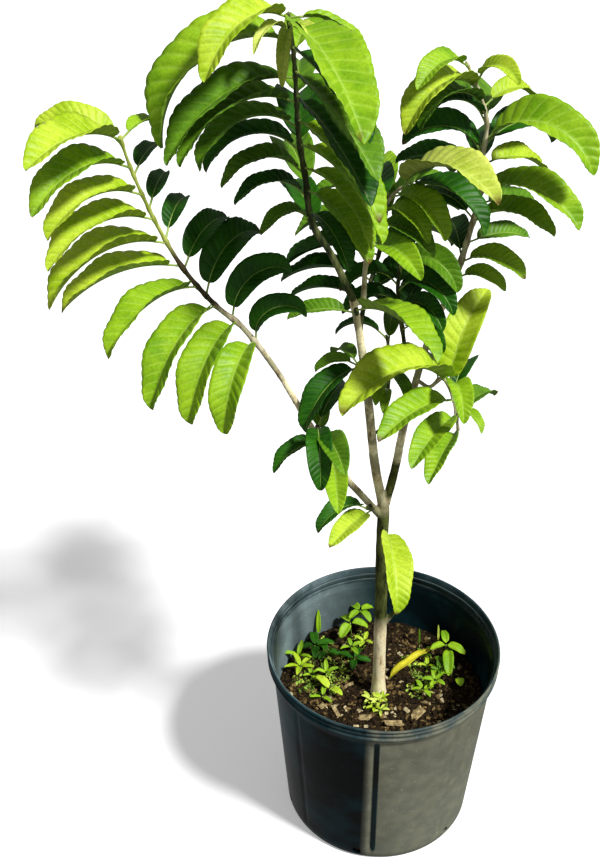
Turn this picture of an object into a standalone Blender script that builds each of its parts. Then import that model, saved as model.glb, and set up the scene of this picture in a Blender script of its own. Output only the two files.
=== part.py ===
"""Custard apple sapling in a round nursery pot.

The pot is turned, the soil fills it, and the trunk stands on the soil. The
trunk forks into three boughs. Each bough carries leafy shoots, and short
spurs bear leaves low down. A shoot is one stem with ranks of drooping leaves,
set along it by a seeded rule and fused to it.
"""
import math
import random
from collections import namedtuple

import bmesh
import bpy
from mathutils import Vector
from mathutils.bvhtree import BVHTree

GAP = 0.0003                 # clearance between neighbouring pieces

# Pot: outer sizes, and the moulded rim band
POT_HEIGHT = 0.258
RIM_RADIUS = 0.140
FOOT_RADIUS = 0.115
SHOULDER_RADIUS = 0.1335     # the wall just under the rim band
RIM_BAND = 0.021             # height of the rim band
RIB_HEIGHT = 0.0045          # the two ribs round the band
RIB_DEPTH = 0.0016
WALL = 0.0022
FLOOR = 0.0030
FOOT_ROUND = 0.006
POT_SIDES = 48
DRAIN_HOLES = 6
DRAIN_RADIUS = 0.0055
DRAIN_HEIGHT = 0.0125

# Soil: its level in the pot, and how uneven its top is
SOIL_LEVEL = 0.175
SOIL_FLAT = 0.026            # radius of the level patch round the trunk
SOIL_BUMP = 0.004
SOIL_SIDES = 36
SOIL_RINGS = 4

# Trunk and boughs
FLARE = 1.30                 # root flare, times the trunk's radius
FLARE_HEIGHT = 0.035
STUB_LENGTH = 0.026          # how far the trunk runs on into each bough
TRUNK_SIDES = 12
BOUGH_SIDES = 10
RING_STEP = 0.020            # distance between a limb's rings
STEM_SIDES = 5
STEM_STEP = 0.022
PRUNED_HEIGHT = 0.108        # the pruned stub, above the soil
PRUNED_LENGTH = 0.027
PRUNED_RADIUS = 0.0034

# Leaf: stations along the blade, and its shape
BLADE_STATIONS = (0.0, 0.10, 0.32, 0.60, 0.86)
PETIOLE = 0.012
PETIOLE_RADIUS = 0.0012
ASPECT = 0.40                # width over length
OUTLINE_FOOT = 0.50          # how blunt the blade is at its foot and at its tip
OUTLINE_TIP = 0.66
FOLD = 27.0                  # each half rises from the midrib, in degrees
THICKNESS = 1.0 / 45.0       # at the midrib, over the length
CLEARANCE = 0.0009           # kept round a leaf where it is tested
TURNS = (0, -7, 7, -14, 14, -22, 22)
LIFTS = (0, 8, -8, 16, -16)

Limb = namedtuple("Limb", "route radii")
Shoot = namedtuple("Shoot", "name bough route radii ranks")
Rank = namedtuple("Rank", "count span azimuth rise droop length roll aspect",
                  defaults=((0,), ASPECT))
Leaf = namedtuple("Leaf", "root azimuth rise droop length roll width")

TRUNK = Limb([(-0.003, 0.000, 0.1753), (-0.004, 0.001, 0.263), (-0.005, 0.001, 0.327),
              (-0.007, 0.001, 0.404), (-0.007, 0.000, 0.466)], (0.0080, 0.0067))

BOUGHS = {
    "bough_main": Limb([(-0.007, 0.000, 0.462), (-0.019, -0.004, 0.528),
                        (-0.026, -0.006, 0.589), (-0.033, -0.006, 0.645),
                        (-0.041, -0.004, 0.698), (-0.048, -0.004, 0.734)], (0.0056, 0.0040)),
    "bough_right": Limb([(-0.007, 0.000, 0.462), (0.003, 0.006, 0.511),
                         (0.011, 0.014, 0.562), (0.020, 0.020, 0.610),
                         (0.035, 0.030, 0.671), (0.053, 0.036, 0.719)], (0.0051, 0.0034)),
    "bough_left": Limb([(-0.008, 0.000, 0.452), (-0.028, -0.012, 0.487),
                        (-0.058, -0.030, 0.541), (-0.090, -0.045, 0.610),
                        (-0.118, -0.055, 0.673), (-0.137, -0.060, 0.709)], (0.0042, 0.0029)),
}

# Angles in degrees: azimuth 0 is +X and 90 is +Y, rise is the blade's slope at
# its foot and droop at its tip. Several values run on from the rank's first
# leaf to its last.
SHOOTS = [
    Shoot("mass_top", "bough_main",
          [(-0.069, -0.012, 0.785), (-0.089, -0.020, 0.825), (-0.095, -0.028, 0.873),
           (-0.101, -0.034, 0.914), (-0.103, -0.040, 0.951), (-0.105, -0.050, 0.990),
           (-0.110, -0.064, 1.034)], (0.0038, 0.0013),
          [Rank(7, (0.33, 0.80), (222, 205, 200, 210, 218), (45, 48, 36, 16),
                (-45, -60, -72, -58), (0.062, 0.085, 0.112, 0.142), (-8, 0), 0.32),
           Rank(1, (0.92, 0.92), (200,), (14,), (-98,), (0.160,), (-8,)),
           Rank(1, (0.99, 0.99), (229,), (27,), (-60,), (0.105,), (-2,)),
           Rank(1, (0.975, 0.975), (-64,), (2,), (-46,), (0.150,), (-14,)),
           Rank(8, (0.36, 0.90), (-62, -40, -56, -64), (5, -8, -6), (-55, -72, -42, -28),
                (0.074, 0.118, 0.128), (-4, -16)),
           Rank(4, (0.93, 0.99), (215, 260, 300, 350), (30, 5), (-82,), (0.055, 0.075),
                (0,), 0.22),
           Rank(5, (0.28, 0.86), (112, 78), (38, 30), (-40, -55), (0.085, 0.120, 0.095),
                (0,))]),
    Shoot("mass_left", "bough_left",
          [(-0.157, -0.065, 0.740), (-0.179, -0.070, 0.764), (-0.205, -0.080, 0.806),
           (-0.224, -0.090, 0.852), (-0.237, -0.100, 0.894), (-0.245, -0.105, 0.924),
           (-0.249, -0.110, 0.947)], (0.0028, 0.0012),
          [Rank(10, (0.05, 0.99), (250, 244, 240, 206, 218, 224, 228, 237),
                (12, 8, 20, 20, 26, 28, 30), (-90, -76, -58, -45, -60, -45, -50, -18),
                (0.105, 0.120, 0.115, 0.112, 0.128, 0.092, 0.100, 0.115), (8, 14, 2, -6)),
           Rank(1, (0.97, 0.97), (192,), (50,), (-40,), (0.070,), (-16,)),
           Rank(8, (0.04, 0.99), (12, 44, 62, 80, 84, 66), (84, 74, 40, 18, 14),
                (-60, -46, -26, -16, -30), (0.070, 0.096, 0.062, 0.050, 0.046),
                (32, 20, 4, 0))]),
    Shoot("mass_right", "bough_right",
          [(0.060, 0.038, 0.743), (0.069, 0.040, 0.785), (0.075, 0.038, 0.822),
           (0.074, 0.034, 0.864), (0.075, 0.030, 0.900), (0.067, 0.022, 0.928),
           (0.057, 0.014, 0.950), (0.048, 0.004, 0.970)], (0.0034, 0.0012),
          [Rank(6, (0.06, 0.13, 0.30, 0.43, 0.64, 0.89), (-30, -35, -40, -36, -50),
                (32, 40, 36, 60), (-55, -45, -32, -68, -50),
                (0.050, 0.070, 0.090, 0.115, 0.128, 0.055), (25, 8, 8, 25)),
           Rank(5, (0.21, 0.38, 0.54, 0.62, 0.78), (28, 40), (6, -5, 8, 20, 32),
                (-28, -46, -66, -54), (0.068, 0.082, 0.078, 0.098, 0.064), (18,)),
           Rank(7, (0.31, 0.52, 0.70, 0.80, 0.98), (128, 180, 198, 220, 226),
                (26, 52, 60, 45, 32), (-50, -38, -55, -80, -70, -46),
                (0.080, 0.088, 0.080, 0.070, 0.108, 0.070), (-24, -18, 4, -8)),
           Rank(4, (0.14, 0.72), (96, 82), (34, 26), (-42,), (0.080, 0.092), (0,))]),
    Shoot("mass_centre", "bough_main",
          [(-0.037, 0.003, 0.729), (-0.036, 0.004, 0.762), (-0.031, 0.008, 0.792),
           (-0.022, 0.012, 0.820), (-0.006, 0.018, 0.840), (0.007, 0.020, 0.843)], (0.0030, 0.0012),
          [Rank(5, (0.46, 0.97), (-53, -46, -53, -55), (30, 34, 26), (-44, -62, -66),
                (0.080, 0.062, 0.095), (18, 0)),
           Rank(1, (0.93, 0.93), (-50,), (54,), (-38,), (0.132,), (3,)),
           Rank(4, (0.35, 0.98), (128, 78), (35, 20), (-45,), (0.080, 0.095), (0,))]),
    Shoot("mass_core", "bough_right",
          [(0.013, 0.034, 0.635), (0.009, 0.042, 0.659), (0.004, 0.050, 0.690),
           (0.001, 0.055, 0.717), (0.003, 0.060, 0.741)], (0.0026, 0.0012),
          [Rank(4, (0.40, 0.92), (-56, -44, -40), (46, 60), (-56, -76), (0.060, 0.074, 0.084),
                (22,)),
           Rank(4, (0.45, 0.98), (150, 232, 160), (40, 52), (-50,), (0.062, 0.072), (-8,)),
           Rank(3, (0.50, 0.97), (86, 70), (34,), (-40,), (0.075, 0.090), (0,))]),
    Shoot("mass_twig", "bough_main",
          [(-0.013, 0.010, 0.569), (-0.008, 0.018, 0.593), (-0.006, 0.025, 0.632),
           (-0.007, 0.030, 0.651), (-0.010, 0.035, 0.668)], (0.0018, 0.0011),
          [Rank(3, (0.50, 0.62), (262, 236, 292), (28,), (-68,), (0.034, 0.042), (2,)),
           Rank(3, (0.80, 0.98), (-40, 60, 170), (50,), (-55,), (0.045, 0.055), (8,))]),
    Shoot("mass_spur_high", "bough_main",
          [(-0.044, -0.014, 0.722), (-0.045, -0.022, 0.732)], (0.0022, 0.0016),
          [Rank(1, (0.95, 0.95), (-52,), (33,), (-34,), (0.118,), (-18,)),
           Rank(1, (0.55, 0.55), (172,), (5,), (-40,), (0.062,), (-10,))]),
    Shoot("mass_spur_low", "bough_main",
          [(-0.039, -0.016, 0.662), (-0.040, -0.023, 0.667)], (0.0021, 0.0016),
          [Rank(3, (0.60, 0.95), (222, 118, 200), (12, 14, 34), (-80, -62, -56),
                (0.088, 0.053, 0.042), (2, -16))]),
    Shoot("mass_lower_right", "bough_right",
          [(0.036, 0.010, 0.620), (0.047, 0.002, 0.636), (0.056, -0.005, 0.627),
           (0.062, -0.010, 0.605), (0.066, -0.015, 0.582)], (0.0022, 0.0013),
          [Rank(1, (0.45, 0.45), (208,), (52,), (-46,), (0.146,), (-3,)),
           Rank(1, (0.48, 0.48), (52,), (84,), (8,), (0.108,), (10,)),
           Rank(3, (0.64, 0.98), (224, 240, 248), (22, 14, 2), (-26, -26, -22),
                (0.104, 0.088, 0.078), (4, -6, 20)),
           Rank(2, (0.52, 0.80), (-86, -60), (55, 40), (-70,), (0.070, 0.040), (-6,)),
           Rank(3, (0.30, 0.86), (112, 70, 52), (34, 20), (-50,), (0.080, 0.070), (0,))]),
    Shoot("mass_lower_left", "bough_left",
          [(-0.066, -0.044, 0.566), (-0.075, -0.051, 0.592), (-0.083, -0.058, 0.618)],
          (0.0024, 0.0015),
          [Rank(1, (0.14, 0.14), (-84,), (10,), (-34,), (0.074,), (3,)),
           Rank(1, (0.72, 0.72), (-72,), (34,), (-22,), (0.080,), (12,)),
           Rank(1, (0.97, 0.97), (250,), (32,), (-84,), (0.074,), (2,)),
           Rank(1, (0.40, 0.40), (215,), (40,), (-66,), (0.064,), (8,)),
           Rank(3, (0.35, 0.95), (128, 96, 70), (38,), (-45,), (0.064, 0.082), (0,))]),
    Shoot("mass_fork_left", "bough_left",
          [(-0.021, -0.020, 0.480), (-0.028, -0.030, 0.490)], (0.0020, 0.0016),
          [Rank(1, (0.95, 0.95), (218,), (40,), (-58,), (0.068,), (2,)),
           Rank(1, (0.34, 0.34), (238,), (16,), (-8,), (0.070,), (-2,)),
           Rank(1, (0.70, 0.70), (110,), (30,), (-30,), (0.036,), (0,))]),
    Shoot("mass_fork_right", "trunk",
          [(-0.006, -0.016, 0.444), (-0.005, -0.022, 0.452)], (0.0020, 0.0016),
          [Rank(1, (0.95, 0.95), (-83,), (20,), (-74,), (0.102,), (-22,))]),
    Shoot("mass_back", "bough_main",
          [(-0.036, 0.035, 0.692), (-0.028, 0.075, 0.700), (-0.018, 0.105, 0.718),
           (-0.010, 0.130, 0.742), (-0.005, 0.150, 0.772)], (0.0030, 0.0013),
          [Rank(5, (0.32, 0.98), (165, 182, 176), (28, 34), (-48,), (0.078, 0.104, 0.080),
                (0,)),
           Rank(5, (0.38, 0.98), (38, 22), (28, 34), (-48,), (0.080, 0.100, 0.078), (0,)),
           Rank(2, (0.84, 0.99), (96, 84), (40, 30), (-40,), (0.090,), (0,))]),
]


def blend(values, share):
    """A value run evenly through a row of values, from its first to its last."""
    if len(values) == 1:
        return values[0]
    place = share * (len(values) - 1)
    low = min(int(place), len(values) - 2)
    return values[low] + (values[low + 1] - values[low]) * (place - low)


def heading(azimuth, slope):
    a = math.radians(azimuth)
    s = math.radians(slope)
    return Vector((math.cos(a) * math.cos(s), math.sin(a) * math.cos(s), math.sin(s)))


# ---------------------------------------------------------------- curves

def smooth(points, steps=8):
    """A Catmull-Rom curve through the points, as a dense polyline."""
    knots = [Vector(p) for p in points]
    knots = [knots[0] * 2 - knots[1]] + knots + [knots[-1] * 2 - knots[-2]]
    curve = []
    for a, b, c, d in zip(knots, knots[1:], knots[2:], knots[3:]):
        for step in range(steps):
            t = step / steps
            curve.append(0.5 * (2 * b + (c - a) * t + (2 * a - 5 * b + 4 * c - d) * t ** 2
                                + (3 * b - a - 3 * c + d) * t ** 3))
    curve.append(knots[-2])
    return curve


def curve_length(curve):
    return sum((b - a).length for a, b in zip(curve, curve[1:]))


def at_length(curve, distance):
    """The point and direction at a distance along a curve."""
    for a, b in zip(curve, curve[1:]):
        span = (b - a).length
        if distance <= span or b is curve[-1]:
            return a + (b - a) * (distance / span), (b - a).normalized()
        distance -= span


def nearest(curve, point):
    """The curve's nearest point, with its direction and its share of the length."""
    best = None
    run = 0.0
    total = curve_length(curve)
    for a, b in zip(curve, curve[1:]):
        span = (b - a).length
        t = min(max((point - a).dot(b - a) / span ** 2, 0.0), 1.0)
        foot = a + (b - a) * t
        if best is None or (point - foot).length < best[0]:
            best = ((point - foot).length, foot, (b - a).normalized(), (run + t * span) / total)
        run += span
    return best[1:]


# ---------------------------------------------------------------- meshes

def add_mesh(name, rows, material, close_ends=True):
    """A closed skin over rows of points. A row of one point is a pole."""
    bm = bmesh.new()
    rings = [[bm.verts.new(p) for p in row] for row in rows]
    for low, high in zip(rings, rings[1:]):
        count = max(len(low), len(high))
        for i in range(count):
            j = (i + 1) % count
            corners = [low[i % len(low)], low[j % len(low)],
                       high[j % len(high)], high[i % len(high)]]
            corners = list(dict.fromkeys(corners))
            bm.faces.new(corners)
    if close_ends:
        for ring in (rings[0], rings[-1]):
            if len(ring) > 2:
                bm.faces.new(ring)
    bmesh.ops.recalc_face_normals(bm, faces=bm.faces)
    mesh = bpy.data.meshes.new(name)
    bm.to_mesh(mesh)
    bm.free()
    obj = bpy.data.objects.new(name, mesh)
    bpy.context.scene.collection.objects.link(obj)
    mesh.materials.append(material)
    return obj


def ring_at(centre, direction, radius, sides):
    """Points of a ring square to a direction, the first always on the same side."""
    across = direction.cross(Vector((0, 1, 0))).normalized()
    up = across.cross(direction)
    return [centre + radius * (math.cos(2 * math.pi * i / sides) * across
                               + math.sin(2 * math.pi * i / sides) * up)
            for i in range(sides)]


def tube_rows(curve, radii, sides, step, first=None):
    """Rings along a curve. first sets the direction that the first ring faces."""
    total = curve_length(curve)
    count = max(2, math.ceil(total / step))
    rows = []
    for i in range(count + 1):
        point, direction = at_length(curve, total * i / count)
        if i == 0 and first is not None:
            direction = first
        rows.append(ring_at(point, direction, blend(radii, i / count), sides))
    return rows


def turned_rows(profile, sides):
    """Rings of a profile of (radius, height), with a pole where the radius is 0."""
    rows = []
    for radius, height in profile:
        if radius == 0:
            rows.append([Vector((0, 0, height))])
        else:
            rows.append([Vector((radius * math.cos(2 * math.pi * i / sides),
                                 radius * math.sin(2 * math.pi * i / sides), height))
                         for i in range(sides)])
    return rows


def combine(base, pieces, operation="UNION"):
    """Join the pieces to the base, or cut them from it, and drop loose scraps."""
    group = bpy.data.collections.new(base.name + "_pieces")
    for piece in pieces:
        bpy.context.scene.collection.objects.unlink(piece)
        group.objects.link(piece)
    bpy.context.scene.collection.children.link(group)
    boolean = base.modifiers.new("combine", "BOOLEAN")
    boolean.operation = operation
    boolean.operand_type = "COLLECTION"
    boolean.collection = group
    for solver in ("EXACT", "MANIFOLD"):
        boolean.solver = solver
        graph = bpy.context.evaluated_depsgraph_get()
        mesh = bpy.data.meshes.new_from_object(base.evaluated_get(graph))
        if keep_largest(mesh):
            break
    base.modifiers.clear()
    base.data = mesh
    for piece in pieces:
        bpy.data.objects.remove(piece)
    bpy.data.collections.remove(group)


def keep_largest(mesh):
    """Keep the largest shell, which drops scraps and fills sealed hollows, and
    tell whether it is closed."""
    bm = bmesh.new()
    bm.from_mesh(mesh)
    bmesh.ops.remove_doubles(bm, verts=bm.verts, dist=0.000002)
    left = set(bm.verts)
    shells = []
    while left:
        shell = set()
        queue = [left.pop()]
        while queue:
            vert = queue.pop()
            shell.add(vert)
            for edge in vert.link_edges:
                other = edge.other_vert(vert)
                if other in left:
                    left.remove(other)
                    queue.append(other)
        shells.append(shell)
    largest = max(shells, key=len)
    bmesh.ops.delete(bm, geom=[v for v in bm.verts if v not in largest], context="VERTS")
    closed = all(edge.is_manifold for edge in bm.edges)
    bm.to_mesh(mesh)
    bm.free()
    return closed


def material(name, colour, roughness):
    made = bpy.data.materials.new(name)
    made.use_nodes = True
    shader = made.node_tree.nodes["Principled BSDF"]
    shader.inputs["Base Color"].default_value = (*colour, 1)
    shader.inputs["Roughness"].default_value = roughness
    return made


def tree_of(obj):
    return BVHTree.FromPolygons([v.co for v in obj.data.vertices],
                                [tuple(p.vertices) for p in obj.data.polygons])


# ---------------------------------------------------------------- pot and soil

def wall_radius(height):
    """The outer radius of the plain wall under the rim band."""
    return FOOT_RADIUS + (SHOULDER_RADIUS - FOOT_RADIUS) * height / (POT_HEIGHT - RIM_BAND)


def pot_profile():
    band = POT_HEIGHT - RIM_BAND
    outer = [(0, 0)]
    for step in range(4):
        angle = math.radians(30 * step)
        outer.append((FOOT_RADIUS - FOOT_ROUND * (1 - math.sin(angle)),
                      FOOT_ROUND * (1 - math.cos(angle))))
    outer += [(wall_radius(band - 0.003), band - 0.003), (RIM_RADIUS - 0.0030, band)]
    for rib in range(2):
        low = band + 0.003 + rib * 2 * RIB_HEIGHT
        outer += [(RIM_RADIUS - 0.0030, low), (RIM_RADIUS - 0.0030 + RIB_DEPTH, low + 0.0015),
                  (RIM_RADIUS - 0.0030 + RIB_DEPTH, low + RIB_HEIGHT - 0.0015),
                  (RIM_RADIUS - 0.0030, low + RIB_HEIGHT)]
    outer += [(RIM_RADIUS, POT_HEIGHT - 0.0035), (RIM_RADIUS - 0.0008, POT_HEIGHT - 0.0005),
              (RIM_RADIUS - 0.0025, POT_HEIGHT)]
    inner = [(RIM_RADIUS - 0.0045, POT_HEIGHT - 0.0020),
             (RIM_RADIUS - 0.0062, band + 0.004),
             (wall_radius(band) - WALL, band - 0.004),
             (wall_radius(FOOT_ROUND) - WALL, FLOOR + 0.005),
             (FOOT_RADIUS - FOOT_ROUND, FLOOR), (0, FLOOR)]
    return outer + inner


def build_pot():
    plastic = material("black_plastic", (0.022, 0.030, 0.033), 0.42)
    pot = add_mesh("pot", turned_rows(pot_profile(), POT_SIDES), plastic)
    drills = []
    for hole in range(DRAIN_HOLES):
        angle = math.radians(360 * (hole + 0.25) / DRAIN_HOLES)
        out = Vector((math.cos(angle), math.sin(angle), 0))
        centre = out * (FOOT_RADIUS + 0.004) + Vector((0, 0, DRAIN_HEIGHT))
        rows = [ring_at(centre - out * depth, out, DRAIN_RADIUS, 10) for depth in (0, 0.010)]
        drills.append(add_mesh("drill", rows, plastic))
    combine(pot, drills, "DIFFERENCE")
    return pot


def build_soil():
    """Fills the pot's inside to SOIL_LEVEL, with an uneven top."""
    earth = material("potting_mix", (0.060, 0.038, 0.024), 0.95)
    edge = wall_radius(SOIL_LEVEL) - WALL - GAP * 2
    profile = [(0, FLOOR + GAP), (FOOT_RADIUS - FOOT_ROUND - 0.001, FLOOR + GAP),
               (wall_radius(FOOT_ROUND) - WALL - GAP * 2, FLOOR + 0.006)]
    rings = [edge - (edge - SOIL_FLAT) * i / SOIL_RINGS for i in range(SOIL_RINGS + 1)]
    rows = turned_rows(profile + [(r, SOIL_LEVEL) for r in rings] + [(0, SOIL_LEVEL)],
                       SOIL_SIDES)
    chance = random.Random(5)
    for row in rows[len(profile):len(profile) + SOIL_RINGS]:
        for point in row:
            point.z += chance.uniform(-SOIL_BUMP, SOIL_BUMP * 0.6)
    return add_mesh("soil", rows, earth)


# ---------------------------------------------------------------- limbs

def build_trunk():
    """The trunk with its root flare, its pruned stub and a stub for each bough."""
    bark = material("bark", (0.33, 0.27, 0.20), 0.85)
    curve = smooth(TRUNK.route)
    total = curve_length(curve)
    heights = [0, 0.004, 0.012, 0.024, FLARE_HEIGHT]
    while heights[-1] + RING_STEP < total:
        heights.append(heights[-1] + RING_STEP)
    heights.append(total)
    rows = []
    for height in heights:
        point, direction = at_length(curve, height)
        if height == 0:
            direction = Vector((0, 0, 1))
        spread = max(0.0, 1 - height / FLARE_HEIGHT) ** 2
        radius = blend(TRUNK.radii, height / total) * (1 + (FLARE - 1) * spread)
        rows.append(ring_at(point, direction, radius, TRUNK_SIDES))
    trunk = add_mesh("trunk", rows, bark)

    stubs = []
    for name, limb in BOUGHS.items():
        course = smooth(limb.route)
        reach = STUB_LENGTH
        points = [at_length(course, reach * i / 3)[0] for i in range(4)]
        share = reach / curve_length(course)
        radii = (blend(limb.radii, 0), blend(limb.radii, share))
        rows = [ring_at(p, at_length(course, reach * i / 3)[1], blend(radii, i / 3), BOUGH_SIDES)
                for i, p in enumerate(points)]
        stubs.append(add_mesh("stub", rows, bark))
    foot, _ = at_length(curve, PRUNED_HEIGHT)
    out = heading(-8, 60)
    rows = [ring_at(foot, out, PRUNED_RADIUS, 8),
            ring_at(foot + out * (TRUNK.radii[0] + PRUNED_LENGTH), out, PRUNED_RADIUS * 0.85, 8)]
    stubs.append(add_mesh("stub", rows, bark))
    combine(trunk, stubs)
    return trunk


def build_bough(name, limb):
    """A tapering limb from just past its stub to where its shoot takes over."""
    bark = bpy.data.materials["bark"]
    course = smooth(limb.route)
    total = curve_length(course)
    _, facing = at_length(course, STUB_LENGTH)
    start = STUB_LENGTH + GAP
    rows = []
    count = math.ceil((total - start) / RING_STEP)
    for i in range(count + 1):
        distance = start + (total - start) * i / count
        point, direction = at_length(course, distance)
        rows.append(ring_at(point, facing if i == 0 else direction,
                            blend(limb.radii, distance / total), BOUGH_SIDES))
    return add_mesh(name, rows, bark)


# ---------------------------------------------------------------- leaves

def leaf_frame(leaf, share):
    """The direction, upper normal and side of the blade at a share of its length."""
    slope = leaf.rise + (leaf.droop - leaf.rise) * share
    along = heading(leaf.azimuth, slope)
    normal = heading(leaf.azimuth, slope + 90)
    side = along.cross(normal)
    roll = math.radians(leaf.roll)
    return (along, normal * math.cos(roll) + side * math.sin(roll),
            side * math.cos(roll) - normal * math.sin(roll))


def leaf_spine(leaf, shares, steps=20):
    """Points of the midrib, at shares of the blade's length."""
    point = leaf.root + leaf_frame(leaf, 0)[0] * PETIOLE
    spine = [point]
    for step in range(steps):
        point = point + leaf_frame(leaf, (step + 0.5) / steps)[0] * (leaf.length / steps)
        spine.append(point)
    found = []
    for share in shares:
        low = min(int(share * steps), steps - 1)
        found.append(spine[low].lerp(spine[low + 1], share * steps - low))
    return found


def half_width(share, width):
    """An oblong outline, widest short of half way, with a pointed tip."""
    peak = OUTLINE_FOOT / (OUTLINE_FOOT + OUTLINE_TIP)
    return (0.5 * width * (share / peak) ** OUTLINE_FOOT
            * ((1 - share) / (1 - peak)) ** OUTLINE_TIP)


def leaf_rows(leaf, extra=0.0):
    """Sections of a leaf from its root in the stem to its tip, a rhombus each."""
    fold = math.radians(FOLD)
    points = leaf_spine(leaf, BLADE_STATIONS + (1.0,))
    rows = []
    along, normal, side = leaf_frame(leaf, 0)
    radius = PETIOLE_RADIUS + extra
    for centre in (leaf.root, points[0]):
        rows.append([centre - side * radius, centre + normal * radius,
                     centre + side * radius, centre - normal * radius])
    for share, centre in list(zip(BLADE_STATIONS, points))[1:]:
        along, normal, side = leaf_frame(leaf, share)
        half = half_width(share, leaf.width) + extra
        deep = max(leaf.length * THICKNESS * 0.5 * (1 - share ** 2), 0.0007) + extra
        lift = normal * half * math.sin(fold)
        rows.append([centre - side * half * math.cos(fold) + lift, centre + normal * deep,
                     centre + side * half * math.cos(fold) + lift, centre - normal * deep])
    rows.append([points[-1] + leaf_frame(leaf, 1)[0] * extra])
    return rows


def leaf_tree(rows):
    """A search tree over the blade, for finding what it would touch."""
    points = [p for row in rows for p in row]
    faces = []
    for r in range(len(rows) - 2):
        for i in range(4):
            j = (i + 1) % 4
            faces.append((4 * r + i, 4 * r + j, 4 * r + 4 + j, 4 * r + 4 + i))
    tip = len(points) - 1
    base = tip - 4
    faces += [(base + i, base + (i + 1) % 4, tip) for i in range(4)]
    return BVHTree.FromPolygons(points, faces)


def place_leaf(wanted, others, kin):
    """Turn and lift a leaf until it is clear. others may never be touched, and
    kin, the leaves of the same shoot, only where nothing else is left."""
    second = None
    for lift in LIFTS:
        for turn in TURNS:
            leaf = wanted._replace(azimuth=wanted.azimuth + turn, rise=wanted.rise + lift,
                                   droop=wanted.droop + lift)
            rows = leaf_rows(leaf, CLEARANCE)
            tree = leaf_tree(rows)
            if any(tree.overlap(other) for other in others):
                continue
            if not any(leaf_tree(rows[1:]).overlap(other) for other in kin):
                return leaf
            second = second or leaf
    return second


def rank_leaves(shoot, course):
    """The leaves that a shoot's ranks ask for, before they are tested."""
    total = curve_length(course)
    chance = random.Random(shoot.name)
    for rank in shoot.ranks:
        for i in range(rank.count):
            share = i / (rank.count - 1) if rank.count > 1 else 0.0
            root, _ = at_length(course, blend(rank.span, share) * total)
            length = blend(rank.length, share) * chance.uniform(0.96, 1.04)
            yield Leaf(root, blend(rank.azimuth, share) + chance.uniform(-4, 4),
                       blend(rank.rise, share) + chance.uniform(-4, 4),
                       blend(rank.droop, share) + chance.uniform(-5, 5), length,
                       blend(rank.roll, share) + chance.uniform(-5, 5), length * rank.aspect)


def shoot_course(shoot, curves):
    """The stem's curve, from 0.3 mm off its bough, and the way its foot faces."""
    limb = TRUNK if shoot.bough == "trunk" else BOUGHS[shoot.bough]
    carrier = curves[shoot.bough]
    first = Vector(shoot.route[0])
    foot, direction, share = nearest(carrier, first)
    if share > 0.999:
        facing = direction
        start = carrier[-1] + direction * GAP
    else:
        facing = first - foot
        facing = (facing - direction * facing.dot(direction)).normalized()
        start = foot + facing * (blend(limb.radii, share) + GAP)
    return smooth([start] + list(shoot.route)), facing


def build_shoot(shoot, curves, solids, stems):
    """One stem with its leaves, fused into one solid."""
    course, facing = shoot_course(shoot, curves)
    stem = stems[shoot.name]
    others = [tree_of(obj) for name, obj in {**solids, **stems}.items() if name != shoot.name]
    leaves = []
    kin = []
    for wanted in rank_leaves(shoot, course):
        leaf = place_leaf(wanted, others, kin)
        if leaf is None:
            continue
        kin.append(leaf_tree(leaf_rows(leaf, CLEARANCE)[1:]))
        leaves.append(add_mesh("leaf", leaf_rows(leaf), stem.active_material))
    combine(stem, leaves)
    return stem, len(leaves)


# ---------------------------------------------------------------- assembly

for old in list(bpy.data.objects):
    bpy.data.objects.remove(old)

solids = {"pot": build_pot(), "soil": build_soil(), "trunk": build_trunk()}
curves = {"trunk": smooth(TRUNK.route)}
for bough_name, bough in BOUGHS.items():
    solids[bough_name] = build_bough(bough_name, bough)
    curves[bough_name] = smooth(bough.route)

green = material("leaf_green", (0.17, 0.36, 0.05), 0.45)
stems = {}
for shoot in SHOOTS:
    course, facing = shoot_course(shoot, curves)
    rows = tube_rows(course, shoot.radii, STEM_SIDES, STEM_STEP, facing)
    stems[shoot.name] = add_mesh(shoot.name, rows, green)
for shoot in SHOOTS:
    stem, count = build_shoot(shoot, curves, solids, stems)
    print(shoot.name, "leaves", count, "of", sum(rank.count for rank in shoot.ranks))
    solids[shoot.name] = stem
    del stems[shoot.name]

for obj in solids.values():
    obj.data.shade_smooth()
    obj.data.set_sharp_from_angle(angle=math.radians(35))
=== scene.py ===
"""Custard apple sapling in a round nursery pot: the looks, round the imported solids."""
import math
import random
from collections import namedtuple

import bmesh
import bpy
from mathutils import Matrix, Vector, noise
from mathutils.bvhtree import BVHTree


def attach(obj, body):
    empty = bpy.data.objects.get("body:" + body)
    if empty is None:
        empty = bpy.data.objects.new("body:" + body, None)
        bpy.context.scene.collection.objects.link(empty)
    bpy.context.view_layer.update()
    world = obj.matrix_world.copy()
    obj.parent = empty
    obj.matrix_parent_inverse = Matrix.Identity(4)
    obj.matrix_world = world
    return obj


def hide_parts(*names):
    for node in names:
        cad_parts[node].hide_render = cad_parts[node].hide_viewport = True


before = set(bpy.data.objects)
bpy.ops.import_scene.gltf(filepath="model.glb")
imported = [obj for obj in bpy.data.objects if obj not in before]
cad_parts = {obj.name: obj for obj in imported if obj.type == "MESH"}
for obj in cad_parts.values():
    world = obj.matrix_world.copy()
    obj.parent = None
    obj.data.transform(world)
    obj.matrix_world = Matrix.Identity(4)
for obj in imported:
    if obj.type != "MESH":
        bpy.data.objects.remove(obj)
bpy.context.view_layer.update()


# ======================================================================= pot
# A blow-moulded nursery pot of thin black plastic, with a ribbed rim band that
# it is lifted by, stacking ledges inside it, shallow flutes down the wall and
# drain holes round the foot. It is turned, and its holes are drilled.

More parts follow.
